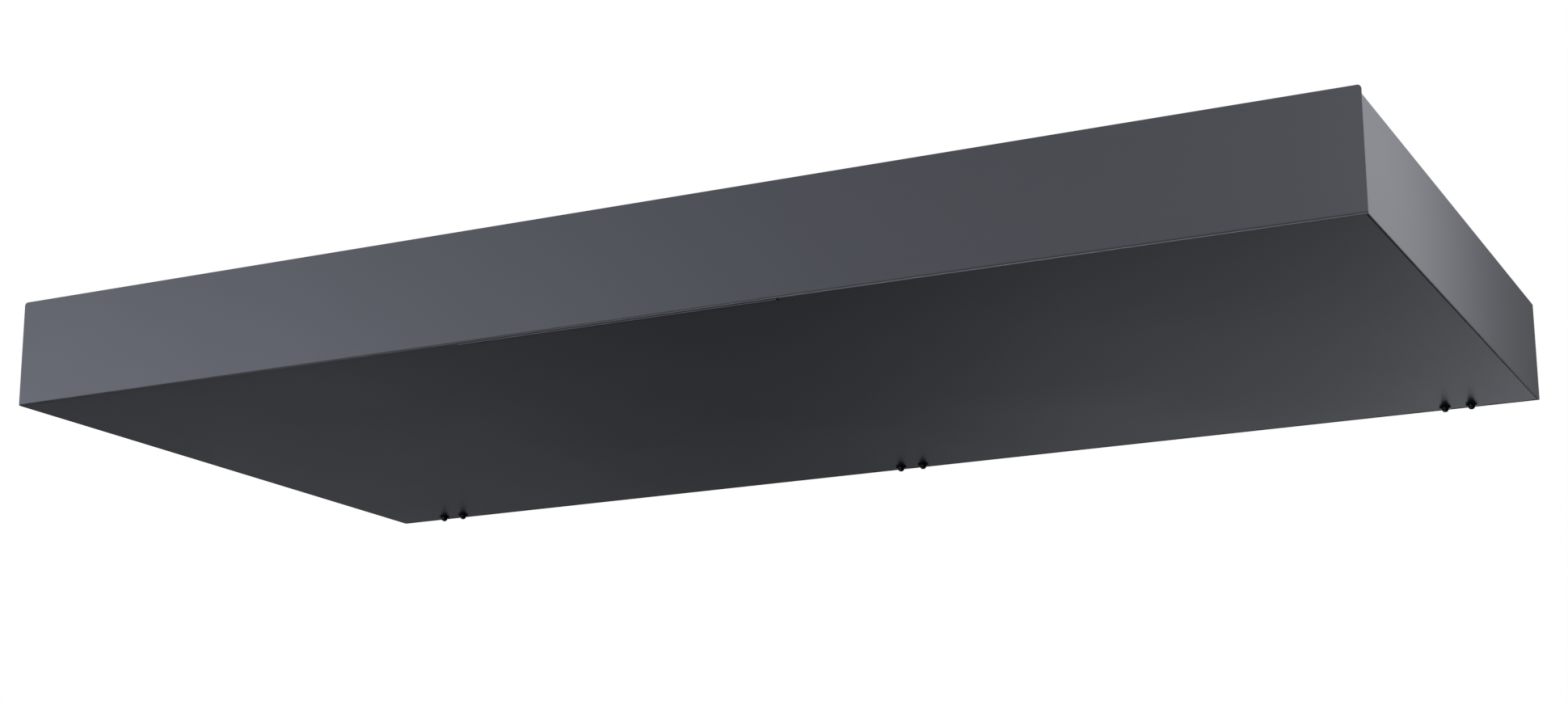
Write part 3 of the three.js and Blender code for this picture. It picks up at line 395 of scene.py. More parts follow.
def satin_aluminium(sizes, colours):
    # Rolled aluminium strip: satin, with fine lines along the way it was rolled.
    material, tree, place = begin("Satin aluminium", "aluminium")
    along = add(tree, "ShaderNodeMapping", {"Vector": place, "Scale": (0.03, 1.0, 1.0)})
    lines = add(tree, "ShaderNodeTexNoise", {
        "Vector": along.outputs[0], "Scale": 1 / (0.8 * MM), "Detail": 2.0})
    mixed = add(tree, "ShaderNodeMix", {
        "Factor": lines.outputs[0],
        MIX_A: shade(colours.aluminium, 0.9), MIX_B: shade(colours.aluminium, 1.06),
    }, data_type="RGBA")
    rough = add(tree, "ShaderNodeMapRange", {"Value": lines.outputs[0], "To Min": 0.3, "To Max": 0.42})
    bump = add(tree, "ShaderNodeBump", {"Height": lines.outputs[0], "Strength": 0.2, "Distance": 0.01 * MM})
    return end(material, {
        "Base Color": mixed.outputs[MIX_OUT], "Roughness": rough.outputs[0], "Metallic": 1.0,
        "Normal": bump.outputs[0]})


def expanded_aluminium(sizes, colours):
    # Aluminium foil slit and stretched into diamonds: bright where it was cut, dulled by handling elsewhere.
    material, tree, place = begin("Expanded aluminium", "aluminium_mesh")
    dulled = add(tree, "ShaderNodeTexNoise", {"Vector": place, "Scale": 1 / (20 * MM), "Detail": 3.0})
    mixed = add(tree, "ShaderNodeMix", {
        "Factor": dulled.outputs[0],
        MIX_A: shade(colours.aluminium, 0.75), MIX_B: shade(colours.aluminium, 1.05),
    }, data_type="RGBA")
    rough = add(tree, "ShaderNodeMapRange", {"Value": dulled.outputs[0], "To Min": 0.28, "To Max": 0.45})
    return end(material, {
        "Base Color": mixed.outputs[MIX_OUT], "Roughness": rough.outputs[0], "Metallic": 1.0})


def black_oxide(sizes, colours):
    # Steel screws blackened in a hot salt bath: nearly black, a little oily, greyer where the finish is thin.
    material, tree, place = begin("Black-oxide steel", "black_steel")
    thin = add(tree, "ShaderNodeTexNoise", {"Vector": place, "Scale": 1 / (2 * MM), "Detail": 3.0})
    mixed = add(tree, "ShaderNodeMix", {
        "Factor": thin.outputs[0], MIX_A: shade(colours.oxide, 0.8), MIX_B: shade(colours.oxide, 1.5),
    }, data_type="RGBA")
    rough = add(tree, "ShaderNodeMapRange", {"Value": thin.outputs[0], "To Min": 0.3, "To Max": 0.45})
    return end(material, {
        "Base Color": mixed.outputs[MIX_OUT], "Roughness": rough.outputs[0], "Metallic": 0.7})


def moulded_plastic(name, slot, colour, grain_size, roughness):
    # Injection-moulded ABS from an eroded mould: an even colour with a fine matt grain.
    material, tree, place = begin(name, slot)
    grain = add(tree, "ShaderNodeTexNoise", {"Vector": place, "Scale": 1 / grain_size, "Detail": 2.0})
    mixed = add(tree, "ShaderNodeMix", {
        "Factor": grain.outputs[0], MIX_A: shade(colour, 0.92), MIX_B: shade(colour, 1.1)}, data_type="RGBA")
    rough = add(tree, "ShaderNodeMapRange", {
        "Value": grain.outputs[0], "To Min": roughness - 0.05, "To Max": roughness + 0.05})
    bump = add(tree, "ShaderNodeBump", {"Height": grain.outputs[0], "Strength": 0.3, "Distance": 0.02 * MM})
    return end(material, {
        "Base Color": mixed.outputs[MIX_OUT], "Roughness": rough.outputs[0], "Normal": bump.outputs[0]})


def black_abs(sizes, colours):
    return moulded_plastic("Black moulded ABS", "black_plastic", colours.black_plastic, 0.6 * MM, 0.48)


def grey_abs(sizes, colours):
    return moulded_plastic("Grey moulded ABS", "grey_plastic", colours.grey_plastic, 0.5 * MM, 0.42)


def white_ceramic(sizes, colours):
    return moulded_plastic("White diode body", "circuit_board", linear("E8E6DE"), 0.4 * MM, 0.35)


def diode_phosphor(sizes, colours):
    return moulded_plastic("Yellow diode phosphor", "circuit_board", linear("E3C24E"), 0.3 * MM, 0.3)


def sintered_ferrite(sizes, colours):
    # Pressed and sintered ferrite: dark grey ceramic with an open, slightly sparkling grain.
    material, tree, place = begin("Sintered ferrite", "ferrite")
    grain = add(tree, "ShaderNodeTexVoronoi", {"Vector": place, "Scale": 1 / (0.5 * MM)})
    tone = add(tree, "ShaderNodeSeparateColor", {"Color": grain.outputs["Color"]})
    mixed = add(tree, "ShaderNodeMix", {
        "Factor": tone.outputs[0], MIX_A: shade(colours.ferrite, 0.75), MIX_B: shade(colours.ferrite, 1.4),
    }, data_type="RGBA")
    rough = add(tree, "ShaderNodeMapRange", {"Value": tone.outputs[1], "To Min": 0.55, "To Max": 0.75})
    return end(material, {"Base Color": mixed.outputs[MIX_OUT], "Roughness": rough.outputs[0]})


def opal_acrylic(sizes, colours):
    # Extruded acrylic with a white pigment: it glows softly and hides the diodes behind it.
    material, tree, place = begin("Opal acrylic", "opal_diffuser")
    cloud = add(tree, "ShaderNodeTexNoise", {"Vector": place, "Scale": 1 / (25 * MM), "Detail": 2.0})
    mixed = add(tree, "ShaderNodeMix", {
        "Factor": cloud.outputs[0], MIX_A: shade(colours.opal, 0.96), MIX_B: shade(colours.opal, 1.0),
    }, data_type="RGBA")
    rough = add(tree, "ShaderNodeMapRange", {"Value": cloud.outputs[0], "To Min": 0.3, "To Max": 0.4})
    return end(material, {
        "Base Color": mixed.outputs[MIX_OUT], "Roughness": rough.outputs[0], "Transmission Weight": 0.25})


def solder_mask(sizes, colours):
    # Green lacquer over etched copper: lighter where the tracks run beneath it.
    material, tree, place = begin("Green solder mask", "circuit_board")
    tracks = add(tree, "ShaderNodeTexVoronoi", {
        "Vector": place, "Scale": 1 / (7 * MM)}, feature="DISTANCE_TO_EDGE")
    track = add(tree, "ShaderNodeMapRange", {
        "Value": tracks.outputs["Distance"], "From Min": 0.08, "From Max": 0.1, "To Min": 1.0, "To Max": 0.0})
    mixed = add(tree, "ShaderNodeMix", {
        "Factor": track.outputs[0], MIX_A: shade(colours.board, 0.8), MIX_B: shade(colours.board, 1.8),
    }, data_type="RGBA")
    bump = add(tree, "ShaderNodeBump", {"Height": track.outputs[0], "Strength": 0.4, "Distance": 0.04 * MM})
    return end(material, {"Base Color": mixed.outputs[MIX_OUT], "Roughness": 0.32, "Normal": bump.outputs[0]})


def matt_floor(sizes, colours):
    # Painted studio floor: pale and matt, with a faint mottle.
    material, tree, place = begin("Pale floor paint", "")
    mottle = add(tree, "ShaderNodeTexNoise", {"Vector": place, "Scale": 1 / (300 * MM), "Detail": 3.0})
    mixed = add(tree, "ShaderNodeMix", {
        "Factor": mottle.outputs[0], MIX_A: shade(colours.floor, 0.98), MIX_B: shade(colours.floor, 1.02),
    }, data_type="RGBA")
    return end(material, {"Base Color": mixed.outputs[MIX_OUT], "Roughness": 0.8})


MADE = {}


def finish(maker):
    """The material of a maker function, made once."""
    if maker not in MADE:
        scene = bpy.context.scene
        MADE[maker] = maker(scene.hood_sizes, scene.hood_colours)
    return MADE[maker]


# ---- Stage ----------------------------------------------------------------------------------------

GLOWS = (  # soft glows of the studio's walls: direction, how narrow, how bright
    ((-0.10, 0.99, -0.08), 170, 2.8),
    ((-0.30, 0.95, -0.10), 150, 0.7),
    ((-0.45, 0.87, -0.17), 60, 0.09),
    ((-0.60, 0.80, -0.08), 150, 0.4),
    ((-0.75, 0.62, -0.17), 60, 0.3),
    ((-0.50, 0.86, -0.02), 250, 0.4),
    ((0.22, 0.93, 0.27), 30, 0.17),
    ((-0.66, -0.72, 0.08), 45, 4.3),
    ((-0.12, -0.95, 0.30), 40, 0.35),
    ((0.00, -1.00, 0.10), 3, 0.3),
    ((0.00, 0.00, 1.00), 1.5, 0.7),
    ((-0.35, -0.25, -0.90), 45, 9.0),
)
AMBIENT = (0.87, 0.91, 1, 1)  # the glows' cool white
SIDE_LAMP_PLACE = (0.98, -0.28, -0.03)
SIDE_LAMP_TOWARDS = (-0.4, 0.02, -0.03)
SIDE_LAMP_SIZE = (0.3, 0.2)
FLOOR_REACH = 40.0  # from the middle of the floor to its edges
FLOOR_THICKNESS = 10 * MM
SENSOR_WIDTH = 36  # millimetres
NEAREST_SEEN = 0.05
FARTHEST_SEEN = 100


class HOOD_OT_studio(bpy.types.Operator):
    """Set up the floor, the soft lights and the camera"""
    bl_idname = "hood.studio"
    bl_label = "Studio"

    def execute(self, context):
        scene, studio = context.scene, context.scene.hood_studio
        scene.view_settings.view_transform = "Standard"
        world = bpy.data.worlds.new("Studio")
        scene.world = world
        world.use_nodes = True
        tree = world.node_tree
        tree.nodes.clear()
        backdrop = add(tree, "ShaderNodeBackground", {"Color": (1, 1, 1, 1)})
        direction = add(tree, "ShaderNodeTexCoord").outputs["Generated"]
        brightness = 0.0
        for towards, narrow, bright in GLOWS:
            near = add(tree, "ShaderNodeVectorMath", {
                0: direction, 1: Vector(towards).normalized()}, operation="DOT_PRODUCT").outputs["Value"]
            ahead = add(tree, "ShaderNodeMath", {0: near, 1: 0.0}, operation="MAXIMUM").outputs[0]
            glow = add(tree, "ShaderNodeMath", {0: ahead, 1: float(narrow)}, operation="POWER").outputs[0]
            brightness = add(tree, "ShaderNodeMath", {
                0: glow, 1: bright, 2: brightness}, operation="MULTIPLY_ADD").outputs[0]
        ambient = add(tree, "ShaderNodeBackground", {"Color": AMBIENT, "Strength": brightness})
        seen = add(tree, "ShaderNodeLightPath").outputs["Is Camera Ray"]
        both = add(tree, "ShaderNodeMixShader", {0: seen, 1: ambient.outputs[0], 2: backdrop.outputs[0]})
        add(tree, "ShaderNodeOutputWorld", {"Surface": both.outputs[0]})

        drop = scene.hood_sizes.floor_drop
        shape = slab(
            bmesh.new(), (-FLOOR_REACH, -FLOOR_REACH, -drop - FLOOR_THICKNESS),
            (FLOOR_REACH, FLOOR_REACH, -drop))
        floor = bpy.data.objects.new("floor", mesh_of(shape, "floor"))
        floor.data.materials.append(finish(matt_floor))
        scene.collection.objects.link(floor)
        # The floor is seen but neither lights the hood nor shows in it.
        floor.visible_diffuse = False
        floor.visible_glossy = False

        lamp = bpy.data.lights.new("soft sun", "SUN")
        lamp.energy, lamp.angle = studio.sun_strength, studio.sun_spread
        scene.collection.objects.link(bpy.data.objects.new("soft sun", lamp))

        lamp = bpy.data.lights.new("side panel", "AREA")
        lamp.shape, lamp.energy = "RECTANGLE", studio.side_lamp
        lamp.size, lamp.size_y = SIDE_LAMP_SIZE
        holder = bpy.data.objects.new("side panel", lamp)
        holder.location = Vector(SIDE_LAMP_PLACE)
        holder.rotation_euler = Vector(SIDE_LAMP_TOWARDS).to_track_quat("-Z", "Y").to_euler()
        holder.visible_camera = False
        holder.visible_glossy = False
        scene.collection.objects.link(holder)

        yaw, pitch, roll = studio.camera_yaw, studio.camera_pitch, studio.camera_roll
        right = Vector((math.cos(yaw), math.sin(yaw), 0))
        forward = Vector((-math.sin(yaw) * math.cos(pitch), math.cos(yaw) * math.cos(pitch), math.sin(pitch)))
        up = right.cross(forward)
        across = right * math.cos(roll) - up * math.sin(roll)
        upwards = right * math.sin(roll) + up * math.cos(roll)
        data = bpy.data.cameras.new("camera")
        data.lens, data.sensor_width, data.shift_y = studio.lens, SENSOR_WIDTH, studio.camera_shift
        data.clip_start, data.clip_end = NEAREST_SEEN, FARTHEST_SEEN
        camera = bpy.data.objects.new("camera", data)
        camera.matrix_world = Matrix.Translation(studio.camera_place) @ Matrix(
            (across, upwards, -forward)).transposed().to_4x4()
        scene.collection.objects.link(camera)
        scene.camera = camera
        return {"FINISHED"}


# ---- Casing and closing panel ---------------------------------------------------------------------

def lower_front_of(node):
    """A test for the edges of a node that lie at the front and the bottom of its box."""
    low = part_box(node)[0]
    return lambda edge: all(
        abs(vert.co.y - low.y) < WELD and abs(vert.co.z - low.z) < WELD for vert in edge.verts)


class HOOD_OT_casing(bpy.types.Operator):
    """Finish the casing's coated panels and its galvanised top plate"""
    bl_idname = "hood.casing"
    bl_label = "Casing"

    def execute(self, context):
        sizes, coat = context.scene.hood_sizes, finish(powder_coat)
        lower_front = lower_front_of("front_panel")
        shortest, clear = 8 * MM, 2 * MM  # edges by the cut-outs and near the underside stay sharp
        front = rounded(welded("front_panel"), sizes.front_round, lower_front, segments=4)

        def upper(edge):
            above = all(vert.co.z > UNDERSIDE + clear for vert in edge.verts)
            return above and edge.calc_length() > shortest and not lower_front(edge)

        rounded(front, sizes.sheet_round, upper)
        show(mesh_of(front, "front_panel"), "finished_front_panel", "front_panel", coat)
        show_rounded(["back_panel", "side_panel_left", "side_panel_right"], sizes.sheet_round, coat)
        show_rounded(["top_plate"], sizes.sheet_round, finish(galvanised_sheet))
        return {"FINISHED"}


class HOOD_OT_closing_panel(bpy.types.Operator):
    """Finish the closing panel, its pull lip and its stiffening ribs"""
    bl_idname = "hood.closing_panel"
    bl_label = "Closing panel"

    def execute(self, context):
        sizes, coat = context.scene.hood_sizes, finish(powder_coat)
        panel = welded("closing_panel")
        low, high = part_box("closing_panel")

        left, right, front = low.x - sizes.seam_fill, high.x + sizes.seam_fill, low.y - sizes.seam_fill
        for vert in panel.verts:
            if abs(vert.co.x - low.x) < WELD:
                vert.co.x = left
            if abs(vert.co.x - high.x) < WELD:
                vert.co.x = right
            if abs(vert.co.y - low.y) < WELD:
                vert.co.y = front

        def folded(edge):
            ends = [vert.co for vert in edge.verts]
            under = all(abs(end.z - low.z) < WELD for end in ends)
            along_side = any(all(abs(end.x - x) < WELD for end in ends) for x in (left, right))
            along_front = all(abs(end.y - front) < WELD for end in ends)
            return under and (along_side or along_front)

        rounded(panel, sizes.fold_round, folded, segments=4)
        show(mesh_of(panel, "closing_panel"), "finished_closing_panel", "closing_panel", coat)
        show_rounded(["pull_lip"], sizes.sheet_round, coat)
        show_rounded(["panel_rib_left", "panel_rib_right"], sizes.sheet_round, finish(galvanised_sheet))
        return {"FINISHED"}


def middle_of(node):
    """The middle of a node's box."""
    low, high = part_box(node)
    return (low + high) / 2


class HOOD_OT_panel_screws(bpy.types.Operator):
    """Set out the six flanged screws that hold the closing panel on its hinges"""
    bl_idname = "hood.panel_screws"
    bl_label = "Panel screws"

    def execute(self, context):
        nodes = [f"panel_screw_{i}" for i in range(1, 7)]
        dome, shank, socket = 3.1, 1.9, 1.2
        profile = [
            (0, 4), (shank - 0.5, 4), (shank, 3.5), (shank, -0.3), (4.9, -0.3), (5.2, -0.5), (5.2, -0.8),
            (4.4, -1.25), (dome + 0.3, -1.3), (dome, -1.6), *arc((0, -1.7), dome, 0, -60),
            (socket + 0.1, -4.42, 6), (socket, -4.3, 6), (socket, -2.9, 6), (0, -2.6),
        ]
        places = [(middle_of(node).x, middle_of(node).y, UNDERSIDE) for node in nodes]
        data = set_out(turned(profile), places, finish(black_oxide))
        show(data, "finished_panel_screws", nodes[0], stands_for=nodes)
        return {"FINISHED"}


class HOOD_OT_hinges(bpy.types.Operator):
    """Finish the hinge brackets and leaves, and set out their pins"""
    bl_idname = "hood.hinges"
    bl_label = "Hinges"

    def execute(self, context):
        zinc = finish(zinc_plating)
        plates = [f"hinge_{kind}_{place}" for kind in ("bracket", "leaf") for place in PLACES]
        show_rounded(plates, 0.15 * MM, zinc)
        nodes = [f"hinge_pin_{place}" for place in PLACES]
        low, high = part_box(nodes[0])
        half, radius = (high.x - low.x) / 2 / MM, (high.z - low.z) / 2 / MM
        profile = [
            (0, -half), (radius - 0.5, -half), (radius, 0.5 - half), (radius, half - 0.5),
            (radius - 0.5, half), (0, half)]
        pin = turned(profile, steps=24)
        bmesh.ops.rotate(pin, verts=pin.verts, cent=(0, 0, 0), matrix=Matrix.Rotation(math.pi / 2, 3, "Y"))
        data = set_out(pin, [middle_of(node) for node in nodes], zinc)
        show(data, "finished_hinge_pins", nodes[0], stands_for=nodes)
        return {"FINISHED"}


class HOOD_OT_magnets(bpy.types.Operator):
    """Build the two catch magnets, each a ferrite block between steel pole plates"""
    bl_idname = "hood.magnets"
    bl_label = "Catch magnets"

    def execute(self, context):
        pole, recess, gap = 1.5 * MM, 0.5 * MM, 0.05 * MM
        for side in SIDES:
            node = f"catch_magnet_{side}"
            low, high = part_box(node)
            block = slab(
                bmesh.new(), (low.x + recess, low.y + pole + gap, low.z + recess),
                (high.x - recess, high.y - pole - gap, high.z), 0.4 * MM)
            show(mesh_of(block, node), f"finished_{node}", node, finish(sintered_ferrite))
            plates = slab(bmesh.new(), low, (high.x, low.y + pole, high.z), 0.2 * MM)
            slab(plates, (low.x, high.y - pole, low.z), high, 0.2 * MM)
            show(mesh_of(plates, node), f"pole_plates_{side}", node, finish(zinc_plating), stands_for=[])
        return {"FINISHED"}


class HOOD_OT_rails(bpy.types.Operator):
    """Finish the hanging rails and the weld spots that hold their feet on the top plate"""
    bl_idname = "hood.rails"
    bl_label = "Hanging rails"

    def execute(self, context):
        nodes = [f"hanging_rail_{side}" for side in SIDES]
        show_rounded(nodes, context.scene.hood_sizes.sheet_round, finish(zinc_plating))
        sheet, foot, spots, end_gap = 1.5 * MM, 14 * MM, 8, 30 * MM
        for node, side in zip(nodes, SIDES):
            low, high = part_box(node)
            step = (high.y - low.y - 2 * end_gap) / (spots - 1)
            points = [
                (x, low.y + end_gap + step * i, low.z + sheet)
                for x in (low.x + foot / 2, high.x - foot / 2) for i in range(spots)]
            spot = [(0, -0.1), (2.8, -0.1), (2.8, 0.02), (2.5, 0.16), (1.9, 0.16), (1.5, 0.06), (0, 0.04)]
            data = set_out(turned(spot, steps=20), points, finish(zinc_plating))
            show(data, f"rail_weld_spots_{side}", node, stands_for=[])
        return {"FINISHED"}


# ---- Filters --------------------------------------------------------------------------------------

def expanded_mesh_tree():
    """Rows of zigzag strands that touch at their corners, in two layers, as slit and stretched foil."""
    tree, given = geometry_tree("Expanded mesh", {
        "Width": "Float", "Depth": "Float", "Cell Length": "Float", "Cell Width": "Float",
        "Strand Width": "Float", "Strand Thickness": "Float", "Lean": "Float", "Layer Gap": "Float",
        "Place": "Vector", "Material": "Material"})

    def reckon(operation, one, two):
        return add(tree, "ShaderNodeMath", {0: one, 1: two}, operation=operation).outputs[0]

    def vector(**parts):
        return add(tree, "ShaderNodeCombineXYZ", parts).outputs[0]

    odd = reckon("MODULO", add(tree, "GeometryNodeInputIndex").outputs[0], 2.0)
    swing = reckon("MULTIPLY", given["Cell Width"], 0.25)
    half_cell = reckon("MULTIPLY", given["Cell Length"], 0.5)
    steps = reckon("ROUND", reckon("DIVIDE", given["Width"], half_cell), 0.0)
    strand = add(tree, "GeometryNodeMeshLine", {
        "Count": reckon("ADD", steps, 1.0),
        "Start Location": vector(X=reckon("MULTIPLY", given["Width"], -0.5)),
        "Offset": vector(X=reckon("DIVIDE", given["Width"], steps))})
    side = reckon("SUBTRACT", reckon("MULTIPLY", odd, 2.0), 1.0)
    zigzag = add(tree, "GeometryNodeSetPosition", {
        "Geometry": strand.outputs[0], "Offset": vector(Y=reckon("MULTIPLY", side, swing))})
    line = add(tree, "GeometryNodeMeshToCurve", {"Mesh": zigzag.outputs[0]})
    upright = add(tree, "GeometryNodeSetCurveNormal", {"Curve": line.outputs[0]}, mode="Z_UP")
    leaning = add(tree, "GeometryNodeSetCurveTilt", {"Curve": upright.outputs[0], "Tilt": given["Lean"]})
    section = add(tree, "GeometryNodeCurvePrimitiveQuadrilateral", {
        "Width": given["Strand Width"], "Height": given["Strand Thickness"]})
    solid = add(tree, "GeometryNodeCurveToMesh", {
        "Curve": leaning.outputs[0], "Profile Curve": section.outputs[0], "Fill Caps": True})
    pitch = reckon("MULTIPLY", given["Cell Width"], 0.5)
    spare = reckon("ADD", reckon("MULTIPLY", swing, 2.0), given["Strand Width"])
    free = reckon("SUBTRACT", given["Depth"], spare)
    rows = add(tree, "GeometryNodeMeshLine", {
        "Count": reckon("FLOOR", reckon("DIVIDE", free, pitch), 0.0),
        "Start Location": vector(Y=reckon("MULTIPLY", free, -0.5)), "Offset": vector(Y=pitch)})
    turns = vector(X=reckon("MULTIPLY", odd, math.pi))
    sheet = add(tree, "GeometryNodeInstanceOnPoints", {
        "Points": rows.outputs[0], "Instance": solid.outputs[0], "Rotation": turns})
    second = add(tree, "GeometryNodeTransform", {
        "Geometry": sheet.outputs[0],
        "Translation": vector(Y=swing, Z=given["Layer Gap"])})
    layers = add(tree, "GeometryNodeJoinGeometry", {0: sheet.outputs[0]})
    tree.links.new(second.outputs[0], layers.inputs[0])
    placed = add(tree, "GeometryNodeTransform", {
        "Geometry": layers.outputs[0], "Translation": given["Place"]})
    return end_tree(tree, placed.outputs[0], given["Material"])


class HOOD_OT_filters(bpy.types.Operator):
    """Finish the filter frame and cassettes, and weave their expanded metal"""
    bl_idname = "hood.filters"
    bl_label = "Grease filters"

    def execute(self, context):
        sizes = context.scene.hood_sizes
        show_rounded(["filter_frame"], 0.2 * MM, finish(galvanised_sheet))
        show_rounded([f"filter_cassette_{place}" for place in PLACES], 0.3 * MM, finish(satin_aluminium))
        tree = expanded_mesh_tree()
        thickness, gap = 0.45 * MM, 3.2 * MM
        for place in PLACES:
            node = f"filter_mesh_{place}"
            low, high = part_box(node)
            middle = middle_of(node)
            data = grown(tree, {
                "Width": high.x - low.x, "Depth": high.y - low.y, "Cell Length": sizes.mesh_cell,
                "Cell Width": sizes.mesh_cell / 2, "Strand Width": sizes.mesh_strand,
                "Strand Thickness": thickness, "Lean": math.radians(25), "Layer Gap": gap,
                "Place": (middle.x, middle.y, middle.z - gap / 2), "Material": finish(expanded_aluminium)})
            show(data, f"finished_{node}", node)
            self.add_rivets(place)
        return {"FINISHED"}

    def add_rivets(self, place):
        """Four flat rivets hold the corners of a cassette's rim together."""
        node = f"filter_cassette_{place}"
        low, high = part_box(node)
        inset = 6 * MM
        points = [
            (x, y, low.z) for x in (low.x + inset, high.x - inset)
            for y in (low.y + inset, high.y - inset)]
        rivet = [
            (0, 0.5), (1.6, 0.5), (1.6, 0.0), (2.4, 0.0), (2.4, -0.15), (2.0, -0.45), (1.2, -0.6),
            (0, -0.65)]
        data = set_out(turned(rivet, steps=20), points, finish(satin_aluminium))
        show(data, f"cassette_rivets_{place}", node, stands_for=[])


class HOOD_OT_latches(bpy.types.Operator):
    """Finish the sliding filter latches, with ridges on their thumb tabs"""
    bl_idname = "hood.latches"
    bl_label = "Filter latches"

    def execute(self, context):
        ridges, pitch, depth = 4, 1.8 * MM, 0.5 * MM
        for place in PLACES:
            node = f"filter_latch_{place}"
            shape = rounded(welded(node), 0.3 * MM)
            low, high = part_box(node)
            middle = (low.x + high.x) / 2
            bottom = [vert.co for vert in shape.verts if vert.co.z < low.z + WELD]
            tab_middle = (min(point.y for point in bottom) + max(point.y for point in bottom)) / 2
            for i in range(ridges):
                y = tab_middle + (i - (ridges - 1) / 2) * pitch
                slab(shape, (middle - 5 * MM, y - 0.4 * MM, low.z - depth + 0.2 * MM),
                     (middle + 5 * MM, y + 0.4 * MM, low.z + 0.3 * MM), 0.15 * MM)
            show(mesh_of(shape, node), f"finished_{node}", node, finish(black_abs))
        return {"FINISHED"}


# ---- Blower and outlet ----------------------------------------------------------------------------

class HOOD_OT_blower(bpy.types.Operator):
    """Finish the scroll housing, the bell mouth, the impeller and the motor"""
    bl_idname = "hood.blower"
    bl_label = "Blower"

    def execute(self, context):
        show_rounded(["blower_housing"], 0.25 * MM, finish(galvanised_sheet))
        impeller = mesh_of(welded("impeller"), "impeller")
        show(impeller, "finished_impeller", "impeller", finish(satin_aluminium))
        motor = mesh_of(welded("blower_motor"), "motor")
        show(motor, "finished_blower_motor", "blower_motor", finish(zinc_plating))
        low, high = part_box("inlet_ring")
        centre = middle_of("inlet_ring")
        throat, top = 76.0, (high.z - low.z) / MM
        flange = 5.5
        profile = [
            (throat, top - 0.2), (throat, 6), *arc((throat + 6.5, 6), 6.5, 180, 262, 8), (throat + 9, 0.1),
            (throat + 9, 0.9), *arc((throat + 6.5, 6), 5.3, 262, 200, 6), (throat + 2.5, flange - 1.2),
            (throat + 19.7, flange - 1.2), (throat + 20, flange - 0.9), (throat + 20, flange),
            (throat + 1.2, flange), (throat + 1.2, top - 0.2), (throat + 0.6, top)]
        ring = turned(profile, (centre.x, centre.y, low.z), closed=True, steps=72)
        show(mesh_of(ring, "inlet_ring"), "finished_inlet_ring", "inlet_ring", finish(black_abs))
        return {"FINISHED"}


class HOOD_OT_outlet(bpy.types.Operator):
    """Finish the outlet box, the duct collar with its rolled bead and rivets, and the damper flaps"""
    bl_idname = "hood.outlet"
    bl_label = "Outlet"

    def execute(self, context):
        galvanised = finish(galvanised_sheet)
        show_rounded(["outlet_box"], 0.25 * MM, galvanised)
        low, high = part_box("duct_collar")
        bore, sheet, flange, rise = 73.5, 1.2, 18.0, (high.z - low.z) / MM
        outside, bead = bore + sheet, 27.5
        profile = [
            (bore, 0.3), (bore + 0.3, 0), (outside + flange - 0.2, 0), (outside + flange, 0.2),
            (outside + flange, sheet - 0.2), (outside + flange - 0.2, sheet), (outside + 2, sheet),
            *arc((outside + 2, sheet + 2), 2, 270, 180), (outside, bead - 2.4),
            *arc((outside, bead), 1.5, -80, 80, 8),
            (outside, bead + 2.4), (outside, rise - 0.5), (outside - 0.4, rise), (bore + 0.3, rise),
            (bore, rise - 0.4), (bore, 17.2), (bore - 3.8, 17.2), (bore - 4, 17.0), (bore - 4, 16.2),
            (bore - 3.8, 16.0), (bore, 16.0)]
        collar = turned(profile, (0, 0, low.z), closed=True, steps=96)
        show(mesh_of(collar, "duct_collar"), "finished_duct_collar", "duct_collar", galvanised)
        rivets, circle = 8, (outside + flange / 2 + 1) * MM
        turns = [2 * math.pi * (i + 0.5) / rivets for i in range(rivets)]
        points = [(circle * math.cos(turn), circle * math.sin(turn), low.z + sheet * MM) for turn in turns]
        rivet = [
            (0, -1), (1.6, -1), (1.6, 0), (3.1, 0), (3.1, 0.3), (2.7, 0.8), (1.9, 1.15), (0.9, 1.2),
            (0.6, 0.8), (0, 0.8)]
        data = set_out(turned(rivet, steps=24), points, finish(satin_aluminium))
        show(data, "collar_rivets", "duct_collar", stands_for=[])
        show_rounded(["damper_flap_left", "damper_flap_right"], 0.2 * MM, finish(grey_abs))
        frame["nodes"]["damper_pin"].material_slots[0].material = finish(zinc_plating)
        return {"FINISHED"}


# ---- Light, switches and controls -----------------------------------------------------------------

class HOOD_OT_light(bpy.types.Operator):
    """Finish the light's housing and lens, and set out its row of diodes"""
    bl_idname = "hood.light"
    bl_label = "Light"

    def execute(self, context):
        show_rounded(["light_housing"], 0.3 * MM, finish(satin_aluminium))
        show_rounded(["light_lens"], 0.4 * MM, finish(opal_acrylic))
        show_rounded(["led_board"], 0.15 * MM, finish(solder_mask))
        low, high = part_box("led_board")
        pitch = context.scene.hood_sizes.led_pitch
        count = int((high.x - low.x) / pitch)
        y = (low.y + high.y) / 2
        points = [((i - (count - 1) / 2) * pitch, y, low.z) for i in range(count)]
        body = slab(
            bmesh.new(), (-1.75 * MM, -1.4 * MM, -0.75 * MM), (1.75 * MM, 1.4 * MM, 0.05 * MM), 0.1 * MM)
        show(set_out(body, points, finish(white_ceramic)), "diode_bodies", "led_board", stands_for=[])
        window = turned([(0, -0.7), (1.15, -0.7), (1.15, -0.8), (0.8, -0.9), (0, -0.95)], steps=16)
        show(set_out(window, points, finish(diode_phosphor)), "diode_windows", "led_board", stands_for=[])
        return {"FINISHED"}


